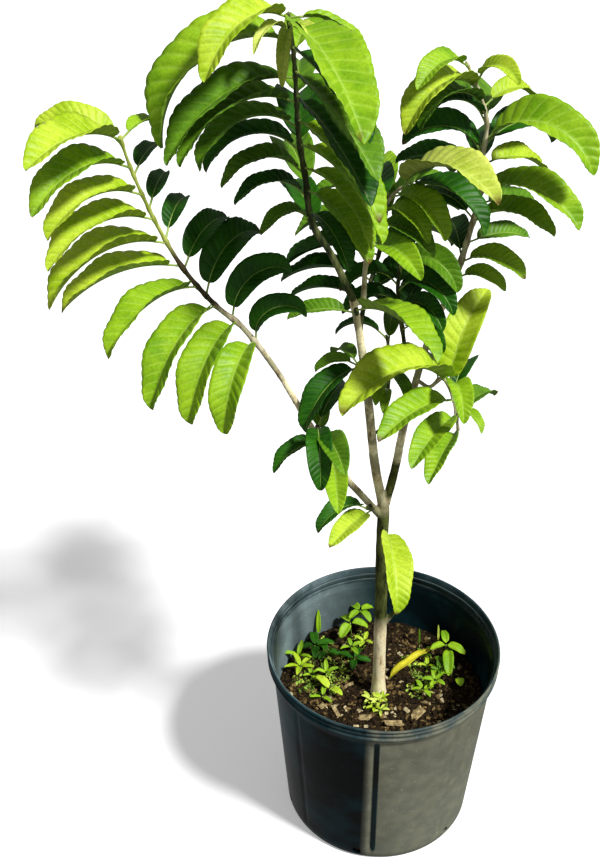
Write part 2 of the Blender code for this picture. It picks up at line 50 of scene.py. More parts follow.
POT_HEIGHT = 0.258
RIM_RADIUS = 0.140
FOOT_RADIUS = 0.115
SHOULDER_RADIUS = 0.1335
RIM_BAND = 0.021
WALL = 0.0016
FLOOR = 0.0030
FOOT_ROUND = 0.006
POT_SIDES = 480
WALL_STEPS = 30
FLUTES = 8                   # shallow upright flutes pressed into the wall
SEAMS = 2                    # the flutes that lie on the mould's seam are deeper
FLUTE_GENTLE = 0.0075        # a flute's width on its gentle side and on its steep one
FLUTE_STEEP = 0.0042
FLUTE_DEPTH = 0.0008
SEAM_DEPTH = 0.0028
FIRST_FLUTE = -96.5
DRAIN_HOLES = 6
DRAIN_RADIUS = 0.0055
DRAIN_HEIGHT = 0.0125


def link(name, data, *materials):
    """A new object at the origin, with its place in its mesh."""
    obj = bpy.data.objects.new(name, data)
    bpy.context.scene.collection.objects.link(obj)
    for finish in materials:
        data.materials.append(finish)
    return obj


def meshed(name, bm, *materials, smooth=True):
    """An object with the mesh that a bmesh holds."""
    mesh = bpy.data.meshes.new(name)
    bm.to_mesh(mesh)
    bm.free()
    if smooth:
        mesh.shade_smooth()
    return link(name, mesh, *materials)


def add_skin(bm, rows, closed=True):
    """A skin over rows of points round an axis. A row of one point is a pole."""
    rings = [[bm.verts.new(p) for p in row] for row in rows]
    faces = []
    for low, high in zip(rings, rings[1:]):
        count = max(len(low), len(high))
        for i in range(count):
            j = (i + 1) % count
            corners = [low[i % len(low)], low[j % len(low)],
                       high[j % len(high)], high[i % len(high)]]
            faces.append(bm.faces.new(list(dict.fromkeys(corners))))
    if closed:
        for ring in (rings[0], rings[-1]):
            if len(ring) > 2:
                faces.append(bm.faces.new(ring))
    bmesh.ops.recalc_face_normals(bm, faces=faces)


def skin(name, rows, material):
    bm = bmesh.new()
    add_skin(bm, rows)
    return meshed(name, bm, material)


def ring_at(centre, across, up, radius, sides):
    """Points of a ring in the plane of two directions."""
    angles = [2 * math.pi * i / sides for i in range(sides)]
    return [centre + radius * (math.cos(a) * across + math.sin(a) * up) for a in angles]


def turned(profile, sides):
    """Rings of a profile of (radius, height), with a pole where the radius is 0."""
    rows = []
    for radius, height in profile:
        angles = [2 * math.pi * i / sides for i in range(sides if radius else 1)]
        rows.append([Vector((radius * math.cos(a), radius * math.sin(a), height)) for a in angles])
    return rows


def wall_radius(height):
    return FOOT_RADIUS + (SHOULDER_RADIUS - FOOT_RADIUS) * height / (POT_HEIGHT - RIM_BAND)


def arc(centre, radius, start, end, steps):
    """Points of a profile's rounded stretch, from one angle to another."""
    return [(centre[0] + radius * math.cos(math.radians(start + (end - start) * i / steps)),
             centre[1] + radius * math.sin(math.radians(start + (end - start) * i / steps)))
            for i in range(steps + 1)]


def pot_profile():
    band = POT_HEIGHT - RIM_BAND
    face = RIM_RADIUS - 0.0028
    outer = [(0, 0), (0.05, 0), (0.09, 0)]
    outer += arc((FOOT_RADIUS - FOOT_ROUND, FOOT_ROUND), FOOT_ROUND, -90, -8, 6)
    for step in range(WALL_STEPS + 1):
        height = FOOT_ROUND + (band - 0.004 - FOOT_ROUND) * step / WALL_STEPS
        outer.append((wall_radius(height), height))
    outer += arc((face - 0.0012, band + 0.0005), 0.0012, -80, 0, 3)
    for low in (0.0030, 0.0105):
        outer += arc((face, band + low + 0.0024), 0.0021, -85, 85, 6)
    outer += arc((RIM_RADIUS - 0.0016, POT_HEIGHT - 0.0016), 0.0016, -60, 170, 9)
    inner = [(RIM_RADIUS - 0.0046, POT_HEIGHT - 0.0060)]
    for low in (0.0090, 0.0170):
        inner += arc((RIM_RADIUS - 0.0052, POT_HEIGHT - low), 0.0013, 60, 220, 4)
        inner.append((RIM_RADIUS - 0.0060, POT_HEIGHT - low - 0.0040))
    inner.append((wall_radius(band - 0.006) - WALL, band - 0.006))
    for step in range(12):
        height = band - 0.008 - (band - 0.018) * step / 11
        inner.append((wall_radius(height) - WALL, height))
    return outer + inner + [(FOOT_RADIUS - FOOT_ROUND, FLOOR), (0, FLOOR)]


def flute_depth(x, y, height):
    """How far the wall is pressed in at a place, and how near that is to a seam's crease."""
    radius = math.hypot(x, y)
    step = 2 * math.pi / FLUTES
    turn = math.atan2(y, x) - math.radians(FIRST_FLUTE) + step / 2
    off = (turn % step - step / 2) * radius
    seam = math.floor(turn / step) % (FLUTES // SEAMS) == 0
    press = max(0, 1 - (off / (FLUTE_STEEP if off > 0 else FLUTE_GENTLE)) ** 2) ** 2
    crease = max(0, 1 - ((off - 0.6 * FLUTE_STEEP) / FLUTE_STEEP) ** 2) if seam else 0
    top = POT_HEIGHT - RIM_BAND - 0.003
    fade = max(0, min(1, (height - 0.012) / 0.01, (top - height) / 0.008))
    return (SEAM_DEPTH if seam else FLUTE_DEPTH) * press * fade, crease * fade


def press_flutes(rows):
    """Press both faces of the wall in along each upright flute, fading out at the ends."""
    for row in rows:
        for point in row:
            if math.hypot(point.x, point.y) > 0.1:
                depth, _ = flute_depth(point.x, point.y, point.z)
                shrink = 1 - depth / math.hypot(point.x, point.y)
                point.x *= shrink
                point.y *= shrink


def add_node(tree, kind, *values, **named):
    """A node with its inputs linked or set, by order (None is left alone) or by
    name with a capital. Other names are the node's own settings."""
    made = tree.nodes.new(kind)
    for label, value in named.items():
        if label[0].islower():
            setattr(made, label, value)
    by_name = {label.replace("_", " "): v for label, v in named.items() if label[0].isupper()}
    for socket, value in [*enumerate(values), *by_name.items()]:
        if isinstance(value, bpy.types.NodeSocket):
            tree.links.new(value, made.inputs[socket])
        elif value is not None:
            made.inputs[socket].default_value = value
    return made


def mixed(tree, factor, a, b, blend="MIX"):
    """A Mix node for colours. Each value may be a socket, a colour or a number."""
    a, b = [(*value, 1) if isinstance(value, tuple) else value for value in (a, b)]
    return add_node(tree, "ShaderNodeMix", factor, *[None] * 5, a, b, data_type="RGBA",
                    blend_type=blend).outputs[2]


def times(tree, a, b, factor=1.0):
    return mixed(tree, factor, a, b, "MULTIPLY")


def ramp(tree, factor, *stops):
    """A Color Ramp of (place, grey or colour) stops."""
    made = add_node(tree, "ShaderNodeValToRGB", Fac=factor)
    bar = made.color_ramp
    while len(bar.elements) < len(stops):
        bar.elements.new(0.5)
    for element, (place, colour) in zip(bar.elements, stops):
        element.position = place
        element.color = (*(colour if isinstance(colour, tuple) else (colour,) * 3), 1)
    return made.outputs["Color"]


def noise_at(tree, vector, scale, detail=4.0, roughness=0.55, stretch=None):
    """A noise texture's factor, read on a vector that may be stretched."""
    if stretch:
        mapping = add_node(tree, "ShaderNodeMapping", Vector=vector, Scale=stretch)
        vector = mapping.outputs["Vector"]
    made = add_node(tree, "ShaderNodeTexNoise", Vector=vector, Scale=scale, Detail=detail,
                    Roughness=roughness)
    return made.outputs["Fac"]


def new_material(name, **values):
    """A Principled material, with its plain values on the shader's own sockets."""
    made = bpy.data.materials.new(name)
    made.use_nodes = True
    shader = made.node_tree.nodes["Principled BSDF"]
    for socket, value in values.items():
        shader.inputs[socket.replace("_", " ")].default_value = value
    place = add_node(made.node_tree, "ShaderNodeTexCoord")
    return made, made.node_tree, shader, place.outputs["Object"]


def paint(tree, shader, **sockets):
    """Link what a material's nodes work out to the shader."""
    for label, socket in sockets.items():
        tree.links.new(socket, shader.inputs[label.replace("_", " ")])


def bump(tree, height, distance, strength, normal=None, invert=False):
    return add_node(tree, "ShaderNodeBump", Height=height, Distance=distance, Strength=strength,
                    Normal=normal, invert=invert).outputs["Normal"]


def split(tree, vector):
    return add_node(tree, "ShaderNodeSeparateXYZ", vector).outputs


def band_of(tree, value, low, high, rises=True):
    """A mask that runs from 0 to 1 between two values, or from 1 to 0."""
    ends = (0.0, 1.0) if rises else (1.0, 0.0)
    return add_node(tree, "ShaderNodeMapRange", value, low, high, *ends).outputs["Result"]


def group(name, inputs, outputs, kind="ShaderNodeTree"):
    """An empty node group with named sockets: (name, type, default) in, (name, type) out."""
    tree = bpy.data.node_groups.new(name, kind)
    for label, what, value in inputs:
        socket = tree.interface.new_socket(label, in_out="INPUT", socket_type="NodeSocket" + what)
        if value is not None:
            socket.default_value = value
    for label, what in outputs:
        tree.interface.new_socket(label, in_out="OUTPUT", socket_type="NodeSocket" + what)
    return tree, add_node(tree, "NodeGroupInput").outputs, add_node(tree, "NodeGroupOutput").inputs


def add_group(tree, made, **values):
    """Place a shader group in a material, with its own values."""
    return add_node(tree, "ShaderNodeGroup", node_tree=made, **values).outputs


def dust_group():
    """Dust as a mask: an even layer with patches and fine grains in it."""
    tree, given, out = group("dust", [("Vector", "Vector", None), ("Amount", "Float", 0.5),
                                      ("Scale", "Float", 14.0)], [("Mask", "Color")])
    patches = noise_at(tree, given["Vector"], 9.0, 6.0, 0.62)
    grains = noise_at(tree, given["Vector"], given["Scale"], 3.0, 0.5)
    broad = ramp(tree, patches, (0.34, 0.72), (0.66, 1.0))
    fine = ramp(tree, grains, (0.38, 0.80), (0.64, 1.0))
    scaled = add_node(tree, "ShaderNodeVectorMath", times(tree, broad, fine),
                      Scale=given["Amount"], operation="SCALE")
    tree.links.new(scaled.outputs["Vector"], out["Mask"])
    return tree


dust = dust_group()


def pot_plastic(name, deep, sheen, dust_and_light, amount, low, high):
    """Black plastic with painted sheen in blue-green patches of its base colour. Dust and painted
    light lie on its sunny side, a seam's crease there is left dark as painted shade, and the rim
    band has a painted highlight.
    """
    made, tree, shader, place = new_material(name, Roughness=0.36, Specular_IOR_Level=0.08)
    # Painted sheen: noisy patches of blue-green in the base colour stand for the plastic's
    # reflection.
    tint = noise_at(tree, place, 7.0, 4.0, 0.6)
    black = ramp(tree, tint, (0.42, deep), (0.62, sheen))
    axes = split(tree, place)
    dusty = add_group(tree, dust, Vector=place, Amount=amount, Scale=70.0)["Mask"]
    # Painted shade: dust and painted light are left out along a seam's crease, so the crease stays
    # dark.
    crease = add_node(tree, "ShaderNodeAttribute", attribute_name="crease")
    out_of_crease_shade = ramp(tree, crease.outputs["Fac"], (0.15, 1.0), (0.60, 0.0))
    # Dust shows only between the X edges low and high, the side that the sun falls on: the right
    # side outside, the left wall inside. There its colour stands for dust and painted light
    # together.
    shown = times(tree, dusty, band_of(tree, axes["X"], low, high))
    dust_and_lit_side = times(tree, shown, out_of_crease_shade)
    dusted_and_lit = mixed(tree, dust_and_lit_side, black, dust_and_light)
    specks = ramp(tree, noise_at(tree, place, 420.0, 2.0), (0.68, 0.0), (0.73, 0.8))
    flecked = mixed(tree, times(tree, specks, dust_and_lit_side), dusted_and_lit,
                    tuple(min(1.0, 2.4 * c) for c in dust_and_light))
    # Painted highlight: the rim band turns lighter and bluer in noisy patches, for light caught on
    # its ridges.
    rim = band_of(tree, axes["Z"], POT_HEIGHT - RIM_BAND, POT_HEIGHT - RIM_BAND + 0.002)
    rim_highlight = ramp(tree, noise_at(tree, place, 45.0, 4.0, 0.6), (0.40, 0.15), (0.62, 0.85))
    paint(tree, shader,
          Base_Color=mixed(tree, times(tree, rim_highlight, rim), flecked, (0.040, 0.066, 0.072)),
          Roughness=ramp(tree, dust_and_lit_side, (0.0, 0.32), (1.0, 0.66)),
          Normal=bump(tree, noise_at(tree, place, 26.0, 3.0, 0.5), 0.0012, 0.5))
    return made


pot_rows = turned(pot_profile(), POT_SIDES)
press_flutes(pot_rows)
# Outside, the pale colour on the right side is dust and painted sunlight.
pot = skin("nursery_pot", pot_rows,
           pot_plastic("pot_plastic", (0.0008, 0.0024, 0.0026), (0.004, 0.046, 0.058),
                       (0.225, 0.225, 0.158), 0.98, -0.0270, -0.0165))
# Inside, the pale colour on the left wall is painted sunlight, with dust in it.
pot.data.materials.append(
    pot_plastic("pot_plastic_inside", (0.003, 0.010, 0.013), (0.012, 0.052, 0.064),
                (0.300, 0.385, 0.395), 0.85, 0.005, -0.120))
# Each outer point's nearness to a seam's crease, which the plastic reads to paint shade there.
creases = pot.data.attributes.new("crease", "FLOAT", "POINT")
for place, vert in zip(creases.data, pot.data.vertices):
    depth, crease = flute_depth(*vert.co)
    if vert.co.xy.length + depth > wall_radius(vert.co.z) - WALL / 2:
        place.value = crease
drills = bmesh.new()
for hole in range(DRAIN_HOLES):
    turn = math.radians(360 * (hole + 0.25) / DRAIN_HOLES)
    out = Vector((math.cos(turn), math.sin(turn), 0))
    across = out.cross(Vector((0, 0, 1)))
    centre = out * (FOOT_RADIUS + 0.004) + Vector((0, 0, DRAIN_HEIGHT))
    add_skin(drills, [ring_at(centre - out * depth, across, Vector((0, 0, 1)), DRAIN_RADIUS, 24)
                      for depth in (0, 0.010)])
drill = meshed("drill", drills, pot.active_material)
cut = pot.modifiers.new("drain_holes", "BOOLEAN")
cut.operation = "DIFFERENCE"
cut.object = drill


def applied(obj):
    """Swap an object's mesh for the evaluated one and drop its modifiers."""
    graph = bpy.context.evaluated_depsgraph_get()
    mesh = bpy.data.meshes.new_from_object(obj.evaluated_get(graph))
    obj.modifiers.clear()
    obj.data = mesh
    return obj


applied(pot)
bpy.data.objects.remove(drill)
for face in pot.data.polygons:
    outward = Vector((face.center.x, face.center.y, 0)).normalized()
    if face.center.z > FLOOR and face.normal.dot(outward) < -0.2:
        face.material_index = 1
pot.data.set_sharp_from_angle(angle=math.radians(50))
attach(pot, "root")
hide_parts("pot")


# ====================================================================== soil
# Potting mix of composted bark, filled into the pot to some way below the rim.
# It is crumbly and dark, and its top is lumpy.

SOIL_LEVEL = 0.175
SOIL_GAP = 0.0006
SOIL_SIDES = 160
SOIL_RINGS = 44
SOIL_FLAT = 0.012
SOIL_LUMPS = 0.0030          # how high the top's lumps, crumbs and grit stand
SOIL_CRUMBS = 0.0022
SOIL_GRIT = 0.0010
SOIL_SUNK = 0.0006
SOIL_BARE = 3                # rings at the pot's wall that no chips lie on
SOIL_EDGE = wall_radius(SOIL_LEVEL) - 0.0022 - SOIL_GAP


def soil_height(x, y):
    """The height of the soil's top, level where the trunk stands."""
    away = min(1, max(0, (math.hypot(x, y) - SOIL_FLAT) / 0.02))
    lumps = noise.noise(Vector((x * 38, y * 38, 1.7)))
    crumbs = noise.noise(Vector((x * 150, y * 150, 5.1)))
    grit = noise.noise(Vector((x * 420, y * 420, 8.3)))
    return SOIL_LEVEL + away * (SOIL_LUMPS * lumps + SOIL_CRUMBS * crumbs + SOIL_GRIT * grit
                                - SOIL_SUNK)


def potting_mix():
    made, tree, shader, place = new_material("potting_mix", Roughness=0.92,
                                             Specular_IOR_Level=0.15)
    lumps = noise_at(tree, place, 200.0, 8.0, 0.75)
    soil = ramp(tree, lumps, (0.38, (0.002, 0.001, 0.0004)), (0.50, (0.018, 0.010, 0.003)),
                (0.60, (0.120, 0.078, 0.024)), (0.68, (0.440, 0.340, 0.150)))
    damp = ramp(tree, noise_at(tree, place, 22.0, 3.0), (0.40, 0.45), (0.62, 1.0))
    paint(tree, shader, Base_Color=times(tree, soil, damp), Normal=bump(tree, lumps, 0.004, 0.9))
    return made


soil_foot = [(0, FLOOR + 0.0003), (FOOT_RADIUS - FOOT_ROUND - 0.001, FLOOR + 0.0003),
             (wall_radius(FOOT_ROUND) - 0.0028, FLOOR + 0.006)]
soil_top = [(SOIL_EDGE * (1 - i / SOIL_RINGS), SOIL_LEVEL) for i in range(SOIL_RINGS + 1)]
soil_rows = turned(soil_foot + soil_top, SOIL_SIDES)
for row in soil_rows[len(soil_foot):]:
    for point in row:
        point.z = soil_height(point.x, point.y)
soil = skin("potting_soil", soil_rows, potting_mix())
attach(soil, "root")
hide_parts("soil")


# ===================================================================== chips
# Chips of bark and a few splinters of pale wood lie loose on the mix. They are
# blocks with their corners pulled about. The chips are scattered by a node tree.

def geometry_tree(name, *inputs):
    """A tree that takes in one geometry and puts out another, with named inputs."""
    return group(name, [("Geometry", "Geometry", None), *inputs], [("Geometry", "Geometry")],
                 "GeometryNodeTree")


def run_nodes(obj, tree, **values):
    """Give an object a geometry tree, set its inputs by identifier and apply it."""
    modifier = obj.modifiers.new(tree.name, "NODES")
    modifier.node_group = tree
    for item in tree.interface.items_tree:
        if item.in_out == "INPUT" and item.name in values:
            modifier[item.identifier] = values[item.name]
    return applied(obj)


def scatter_tree():
    """Chips thrown on a surface, each turned and sized at random."""
    tree, given, out = geometry_tree(
        "scatter_chips", ("Chip", "Object", None), ("Density", "Float", 2000.0),
        ("Smallest", "Float", 0.4), ("Largest", "Float", 1.2), ("Tumble", "Float", 0.5),
        ("Seed", "Int", 1), ("Material", "Material", None))
    points = add_node(tree, "GeometryNodeDistributePointsOnFaces", Mesh=given["Geometry"],
                      Density=given["Density"], Seed=given["Seed"])
    back = add_node(tree, "ShaderNodeMath", given["Tumble"], -1.0, operation="MULTIPLY")
    ends = [add_node(tree, "ShaderNodeCombineXYZ", tilt, tilt, turn).outputs[0]
            for tilt, turn in ((back.outputs[0], -math.pi), (given["Tumble"], math.pi))]
    turn = add_node(tree, "FunctionNodeRandomValue", *ends, Seed=given["Seed"],
                    data_type="FLOAT_VECTOR")
    size = add_node(tree, "FunctionNodeRandomValue", None, None, given["Smallest"],
                    given["Largest"], Seed=given["Seed"])
    chip = add_node(tree, "GeometryNodeObjectInfo", Object=given["Chip"])
    thrown = add_node(tree, "GeometryNodeInstanceOnPoints", Points=points.outputs["Points"],
                      Instance=chip.outputs["Geometry"], Rotation=turn.outputs[0],
                      Scale=size.outputs[1])
    real = add_node(tree, "GeometryNodeRealizeInstances", thrown.outputs[0])
    painted = add_node(tree, "GeometryNodeSetMaterial", Geometry=real.outputs[0],
                       Material=given["Material"])
    tree.links.new(painted.outputs[0], out["Geometry"])
    return tree


def chip_shape(name, length, width, height, seed):
    """A split of bark: a block with its corners pulled about."""
    bm = bmesh.new()
    bmesh.ops.create_cube(bm, size=1.0)
    bmesh.ops.subdivide_edges(bm, edges=bm.edges, cuts=1, use_grid_fill=True)
    chance = random.Random(seed)
    for vert in bm.verts:
        vert.co.x *= length * chance.uniform(0.55, 1.1)
        vert.co.y *= width * chance.uniform(0.5, 1.15)
        vert.co.z *= height * chance.uniform(0.5, 1.2)
    return meshed(name, bm, smooth=False)


def chip_wood(name, dark, light):
    made, tree, shader, place = new_material(name, Roughness=0.88, Specular_IOR_Level=0.2)
    grain = noise_at(tree, place, 240.0, 5.0, 0.65)
    paint(tree, shader, Base_Color=ramp(tree, grain, (0.35, dark), (0.65, light)),
          Normal=bump(tree, grain, 0.0008, 0.7))
    return made


scatter = scatter_tree()
# Kinds of chip: length, width and height, chips a square metre, smallest and
# largest share of their size, tumble, seed, dark and light tone.
CHIPS = [("chips_dark", 0.0105, 0.0046, 0.0022, 26000.0, 0.30, 1.00, 0.7, 3,
          (0.003, 0.0015, 0.0005), (0.044, 0.023, 0.007)),
         ("chips_brown", 0.0120, 0.0052, 0.0020, 8500.0, 0.30, 1.00, 0.6, 7,
          (0.064, 0.036, 0.010), (0.270, 0.180, 0.062)),
         ("chips_pale", 0.0110, 0.0060, 0.0018, 1900.0, 0.30, 1.00, 0.5, 12,
          (0.300, 0.235, 0.110), (0.700, 0.610, 0.360))]
bare_top = bmesh.new()
add_skin(bare_top, soil_rows[len(soil_foot) + SOIL_BARE:], closed=False)
for name, long, wide, high, density, small, large, tumble, seed, dark, light in CHIPS:
    shape = chip_shape(name + "_shape", long, wide, high, seed)
    chips = link(name, bpy.data.meshes.new(name))
    bare_top.to_mesh(chips.data)
    run_nodes(chips, scatter, Chip=shape, Density=density, Smallest=small, Largest=large,
              Tumble=tumble, Seed=seed, Material=chip_wood(name, dark, light))
    bpy.data.objects.remove(shape)
    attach(chips, "root")

# A few larger splinters and a bit of dry twig lie on top, each in its own place:
# x, y, length, width, turn and tilt in degrees.
SPLINTERS = [(0.013, -0.054, 0.026, 0.008, 12, 14), (0.042, -0.038, 0.019, 0.012, 38, -24),
             (-0.022, -0.044, 0.017, 0.009, 160, 20), (-0.073, -0.026, 0.013, 0.008, 60, 18),
             (-0.056, -0.036, 0.018, 0.006, 120, -12), (0.020, 0.040, 0.015, 0.007, 75, 16),
             (0.055, -0.020, 0.014, 0.005, 140, 22), (-0.040, 0.010, 0.016, 0.005, 20, -18)]
splinters = bmesh.new()
for number, (x, y, long, wide, turn, tilt) in enumerate(SPLINTERS):
    shape = chip_shape("splinter", long, wide, 0.0022, 60 + number)
    turned_by = (Matrix.Translation((x, y, soil_height(x, y) + 0.003))
                 @ Matrix.Rotation(math.radians(turn), 4, "Z")
                 @ Matrix.Rotation(math.radians(tilt), 4, "Y"))
    shape.data.transform(turned_by)
    splinters.from_mesh(shape.data)
    bpy.data.objects.remove(shape)
large = meshed("splinters", splinters,
               chip_wood("splinter_wood", (0.130, 0.088, 0.036), (0.560, 0.430, 0.200)),
               smooth=False)
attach(large, "root")


# ======================================================== trunk and boughs
# One trunk that leaves the soil with a slight flare and forks into three
# boughs, with the stub of a pruned fork low down. The bark is thin, grey-brown
# and finely ridged. The limbs are grown as tubes, melted together and carved.

Limb = namedtuple("Limb", "route radii")
FLARE = 1.30
FLARE_HEIGHT = 0.035
PRUNED_HEIGHT = 0.108
PRUNED_LENGTH = 0.027
PRUNED_RADIUS = 0.0034
TRUNK_SIDES = 24
BOUGH_SIDES = 20
LIMB_STEP = 0.004
BARK_VOXEL = 0.0010
BARK_RIDGE = 0.00030
BARK_LUMP = 0.00035
BARK_SUNK = 0.0001

TRUNK = Limb([(-0.003, 0.000, 0.1753), (-0.004, 0.001, 0.263), (-0.005, 0.001, 0.327),
              (-0.007, 0.001, 0.404), (-0.007, 0.000, 0.466)], (0.0080, 0.0067))

BOUGHS = {
    "bough_main": Limb([(-0.007, 0.000, 0.462), (-0.019, -0.004, 0.528),
                        (-0.026, -0.006, 0.589), (-0.033, -0.006, 0.645),
                        (-0.041, -0.004, 0.698), (-0.048, -0.004, 0.734)], (0.0056, 0.0040)),
    "bough_right": Limb([(-0.007, 0.000, 0.462), (0.003, 0.006, 0.511),
                         (0.011, 0.014, 0.562), (0.020, 0.020, 0.610),
                         (0.035, 0.030, 0.671), (0.053, 0.036, 0.719)], (0.0051, 0.0034)),
    "bough_left": Limb([(-0.008, 0.000, 0.452), (-0.028, -0.012, 0.487),
                        (-0.058, -0.030, 0.541), (-0.090, -0.045, 0.610),
                        (-0.118, -0.055, 0.673), (-0.137, -0.060, 0.709)], (0.0042, 0.0029)),
}


def blend(values, share):
    """A value run evenly through a row of values, or the one value that there is."""
    if not isinstance(values, tuple):
        return values
    place = share * (len(values) - 1)
    low = min(int(place), len(values) - 2)
    return values[low] + (values[low + 1] - values[low]) * (place - low)


def heading(azimuth, slope):
    a = math.radians(azimuth)
    s = math.radians(slope)
    return Vector((math.cos(a) * math.cos(s), math.sin(a) * math.cos(s), math.sin(s)))


def smooth(points, steps=8):
    """A Catmull-Rom curve through the points, as a dense polyline."""
    knots = [Vector(p) for p in points]
    knots = [knots[0] * 2 - knots[1]] + knots + [knots[-1] * 2 - knots[-2]]
    curve = []
    for a, b, c, d in zip(knots, knots[1:], knots[2:], knots[3:]):
        for step in range(steps):
            t = step / steps
            curve.append(0.5 * (2 * b + (c - a) * t + (2 * a - 5 * b + 4 * c - d) * t ** 2
                                + (3 * b - a - 3 * c + d) * t ** 3))
    curve.append(knots[-2])
    return curve


def curve_length(curve):
    return sum((b - a).length for a, b in zip(curve, curve[1:]))


def at_length(curve, distance):
    """The point and direction at a distance along a curve."""
    for a, b in zip(curve, curve[1:]):
        span = (b - a).length
        if distance <= span or b is curve[-1]:
            return a + (b - a) * (distance / span), (b - a).normalized()
        distance -= span


def nearest(curve, point):
    """The curve's nearest point, with its direction and its share of the length."""
    best = None
    run = 0.0
    total = curve_length(curve)
    for a, b in zip(curve, curve[1:]):
        span = (b - a).length
        t = min(max((point - a).dot(b - a) / span ** 2, 0.0), 1.0)
        foot = a + (b - a) * t
        if best is None or (point - foot).length < best[0]:
            best = ((point - foot).length, foot, (b - a).normalized(), (run + t * span) / total)
        run += span
    return best[1:]


def ring_round(centre, direction, radius, sides):
    """Points of a ring square to a direction, the first always on the same side."""
    across = direction.cross(Vector((0, 1, 0))).normalized()
    return ring_at(centre, across, across.cross(direction), radius, sides)


def limb_rows(curve, radius_of, sides, step, first=None):
    """Rings along a curve, radius_of giving each ring's radius at its length."""
    total = curve_length(curve)
    count = max(2, math.ceil(total / step))
    rows = []
    for i in range(count + 1):
        point, direction = at_length(curve, total * i / count)
        if i == 0 and first is not None:
            direction = first
        rows.append(ring_round(point, direction, radius_of(total * i / count), sides))
    return rows


def bark():
    """Pale, pitted and streaked bark, with painted shade in dark green on the middle of the trunk
    and the foot of the right bough, and dark patches of the same green mixed in on the boughs.
    """
    made, tree, shader, place = new_material("bark", Roughness=0.85, Specular_IOR_Level=0.2)
    streaks = noise_at(tree, place, 120.0, 7.0, 0.66, (1.0, 1.0, 0.30))
    colour = ramp(tree, streaks, (0.32, (0.300, 0.200, 0.090)), (0.41, (0.920, 0.750, 0.430)),
                  (0.52, (1.000, 0.900, 0.570)))
    spots = add_node(tree, "ShaderNodeTexVoronoi", Vector=place, Scale=330.0)
    pores = ramp(tree, spots.outputs["Distance"], (0.12, 0.8), (0.28, 0.0))
    pitted = mixed(tree, pores, colour, (0.400, 0.290, 0.150))
    patches = ramp(tree, noise_at(tree, place, 34.0, 4.0, 0.6), (0.44, 0.0), (0.56, 1.0))
    # One dark green serves as moss in random patches and as painted shade in bands.
    moss_and_shade = ramp(tree, streaks, (0.38, (0.014, 0.020, 0.002)), (0.60, (0.105, 0.122, 0.024)))
    axes = split(tree, place)
    height = axes["Z"]
    # Painted shade: the middle of the trunk and the lower right of the right bough are painted in
    # that dark green, where shadow falls.
    shaded = times(tree, band_of(tree, height, 0.275, 0.305),
                   band_of(tree, height, 0.455, 0.500, rises=False))
    right_bough_shadow = times(tree, times(tree, band_of(tree, height, 0.470, 0.485),
                                   band_of(tree, height, 0.522, 0.534, rises=False)),
                       band_of(tree, axes["X"], -0.009, -0.004))
    shaded = mixed(tree, 1.0, shaded, right_bough_shadow, "LIGHTEN")
    share = ramp(tree, band_of(tree, height, 0.455, 0.500), (0.0, 0.06), (1.0, 0.62))
    amount = mixed(tree, shaded, times(tree, patches, share), (1.0, 1.0, 1.0))
    paint(tree, shader, Base_Color=mixed(tree, amount, pitted, moss_and_shade),
          Normal=bump(tree, pores, 0.0006, 0.5, bump(tree, streaks, 0.0014, 0.8)))
    return made


def trunk_radius(distance):
    spread = max(0.0, 1 - distance / FLARE_HEIGHT) ** 2
    return blend(TRUNK.radii, distance / trunk_total) * (1 + (FLARE - 1) * spread)


trunk_curve = smooth(TRUNK.route)
trunk_total = curve_length(trunk_curve)
curves = {"trunk": trunk_curve}
wood = bmesh.new()
add_skin(wood, limb_rows(trunk_curve, trunk_radius, TRUNK_SIDES, LIMB_STEP, Vector((0, 0, 1))))
for name, limb in BOUGHS.items():
    curves[name] = smooth(limb.route)
    total = curve_length(curves[name])
    add_skin(wood, limb_rows(curves[name], lambda d: blend(limb.radii, d / total),
                             BOUGH_SIDES, LIMB_STEP))
pruned_foot, _ = at_length(trunk_curve, PRUNED_HEIGHT)
pruned_way = heading(-8, 60)
pruned_top = pruned_foot + pruned_way * (TRUNK.radii[0] + PRUNED_LENGTH)
add_skin(wood, [ring_round(pruned_foot, pruned_way, PRUNED_RADIUS, 16),
                ring_round(pruned_top, pruned_way, PRUNED_RADIUS * 0.85, 16)])
limbs = meshed("trunk_and_boughs", wood, smooth=False)
melt = limbs.modifiers.new("melt", "REMESH")
melt.mode = "VOXEL"
melt.voxel_size = BARK_VOXEL
ease = limbs.modifiers.new("ease", "SMOOTH")
ease.factor = 0.5
ease.iterations = 5
applied(limbs)
limbs.data.materials.append(bark())
for vert, normal in zip(limbs.data.vertices, [v.normal.copy() for v in limbs.data.vertices]):
    p = vert.co
    ridge = noise.noise(Vector((p.x * 420, p.y * 420, p.z * 70)))
    lump = noise.noise(Vector((p.x * 90, p.y * 90, p.z * 45)))
    if p.z > SOIL_LEVEL + 0.002:
        vert.co = p + normal * (BARK_RIDGE * ridge + BARK_LUMP * lump - BARK_SUNK)
limbs.data.shade_smooth()
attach(limbs, "root")
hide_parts("trunk", *BOUGHS)


# ==================================================================== shoots
# Each bough ends in a leafy shoot, and short spurs bear leaves lower down. A
# shoot is a slim stem with leaves in two ranks. They are laid out here by a
# seeded rule, each leaf turned a little until it is clear.

Shoot = namedtuple("Shoot", "name bough radii route ranks")
Rank = namedtuple("Rank", "tints span azimuth rise droop length roll aspect", defaults=(0, 0.40))
Leaf = namedtuple("Leaf", "root azimuth rise droop length roll width")

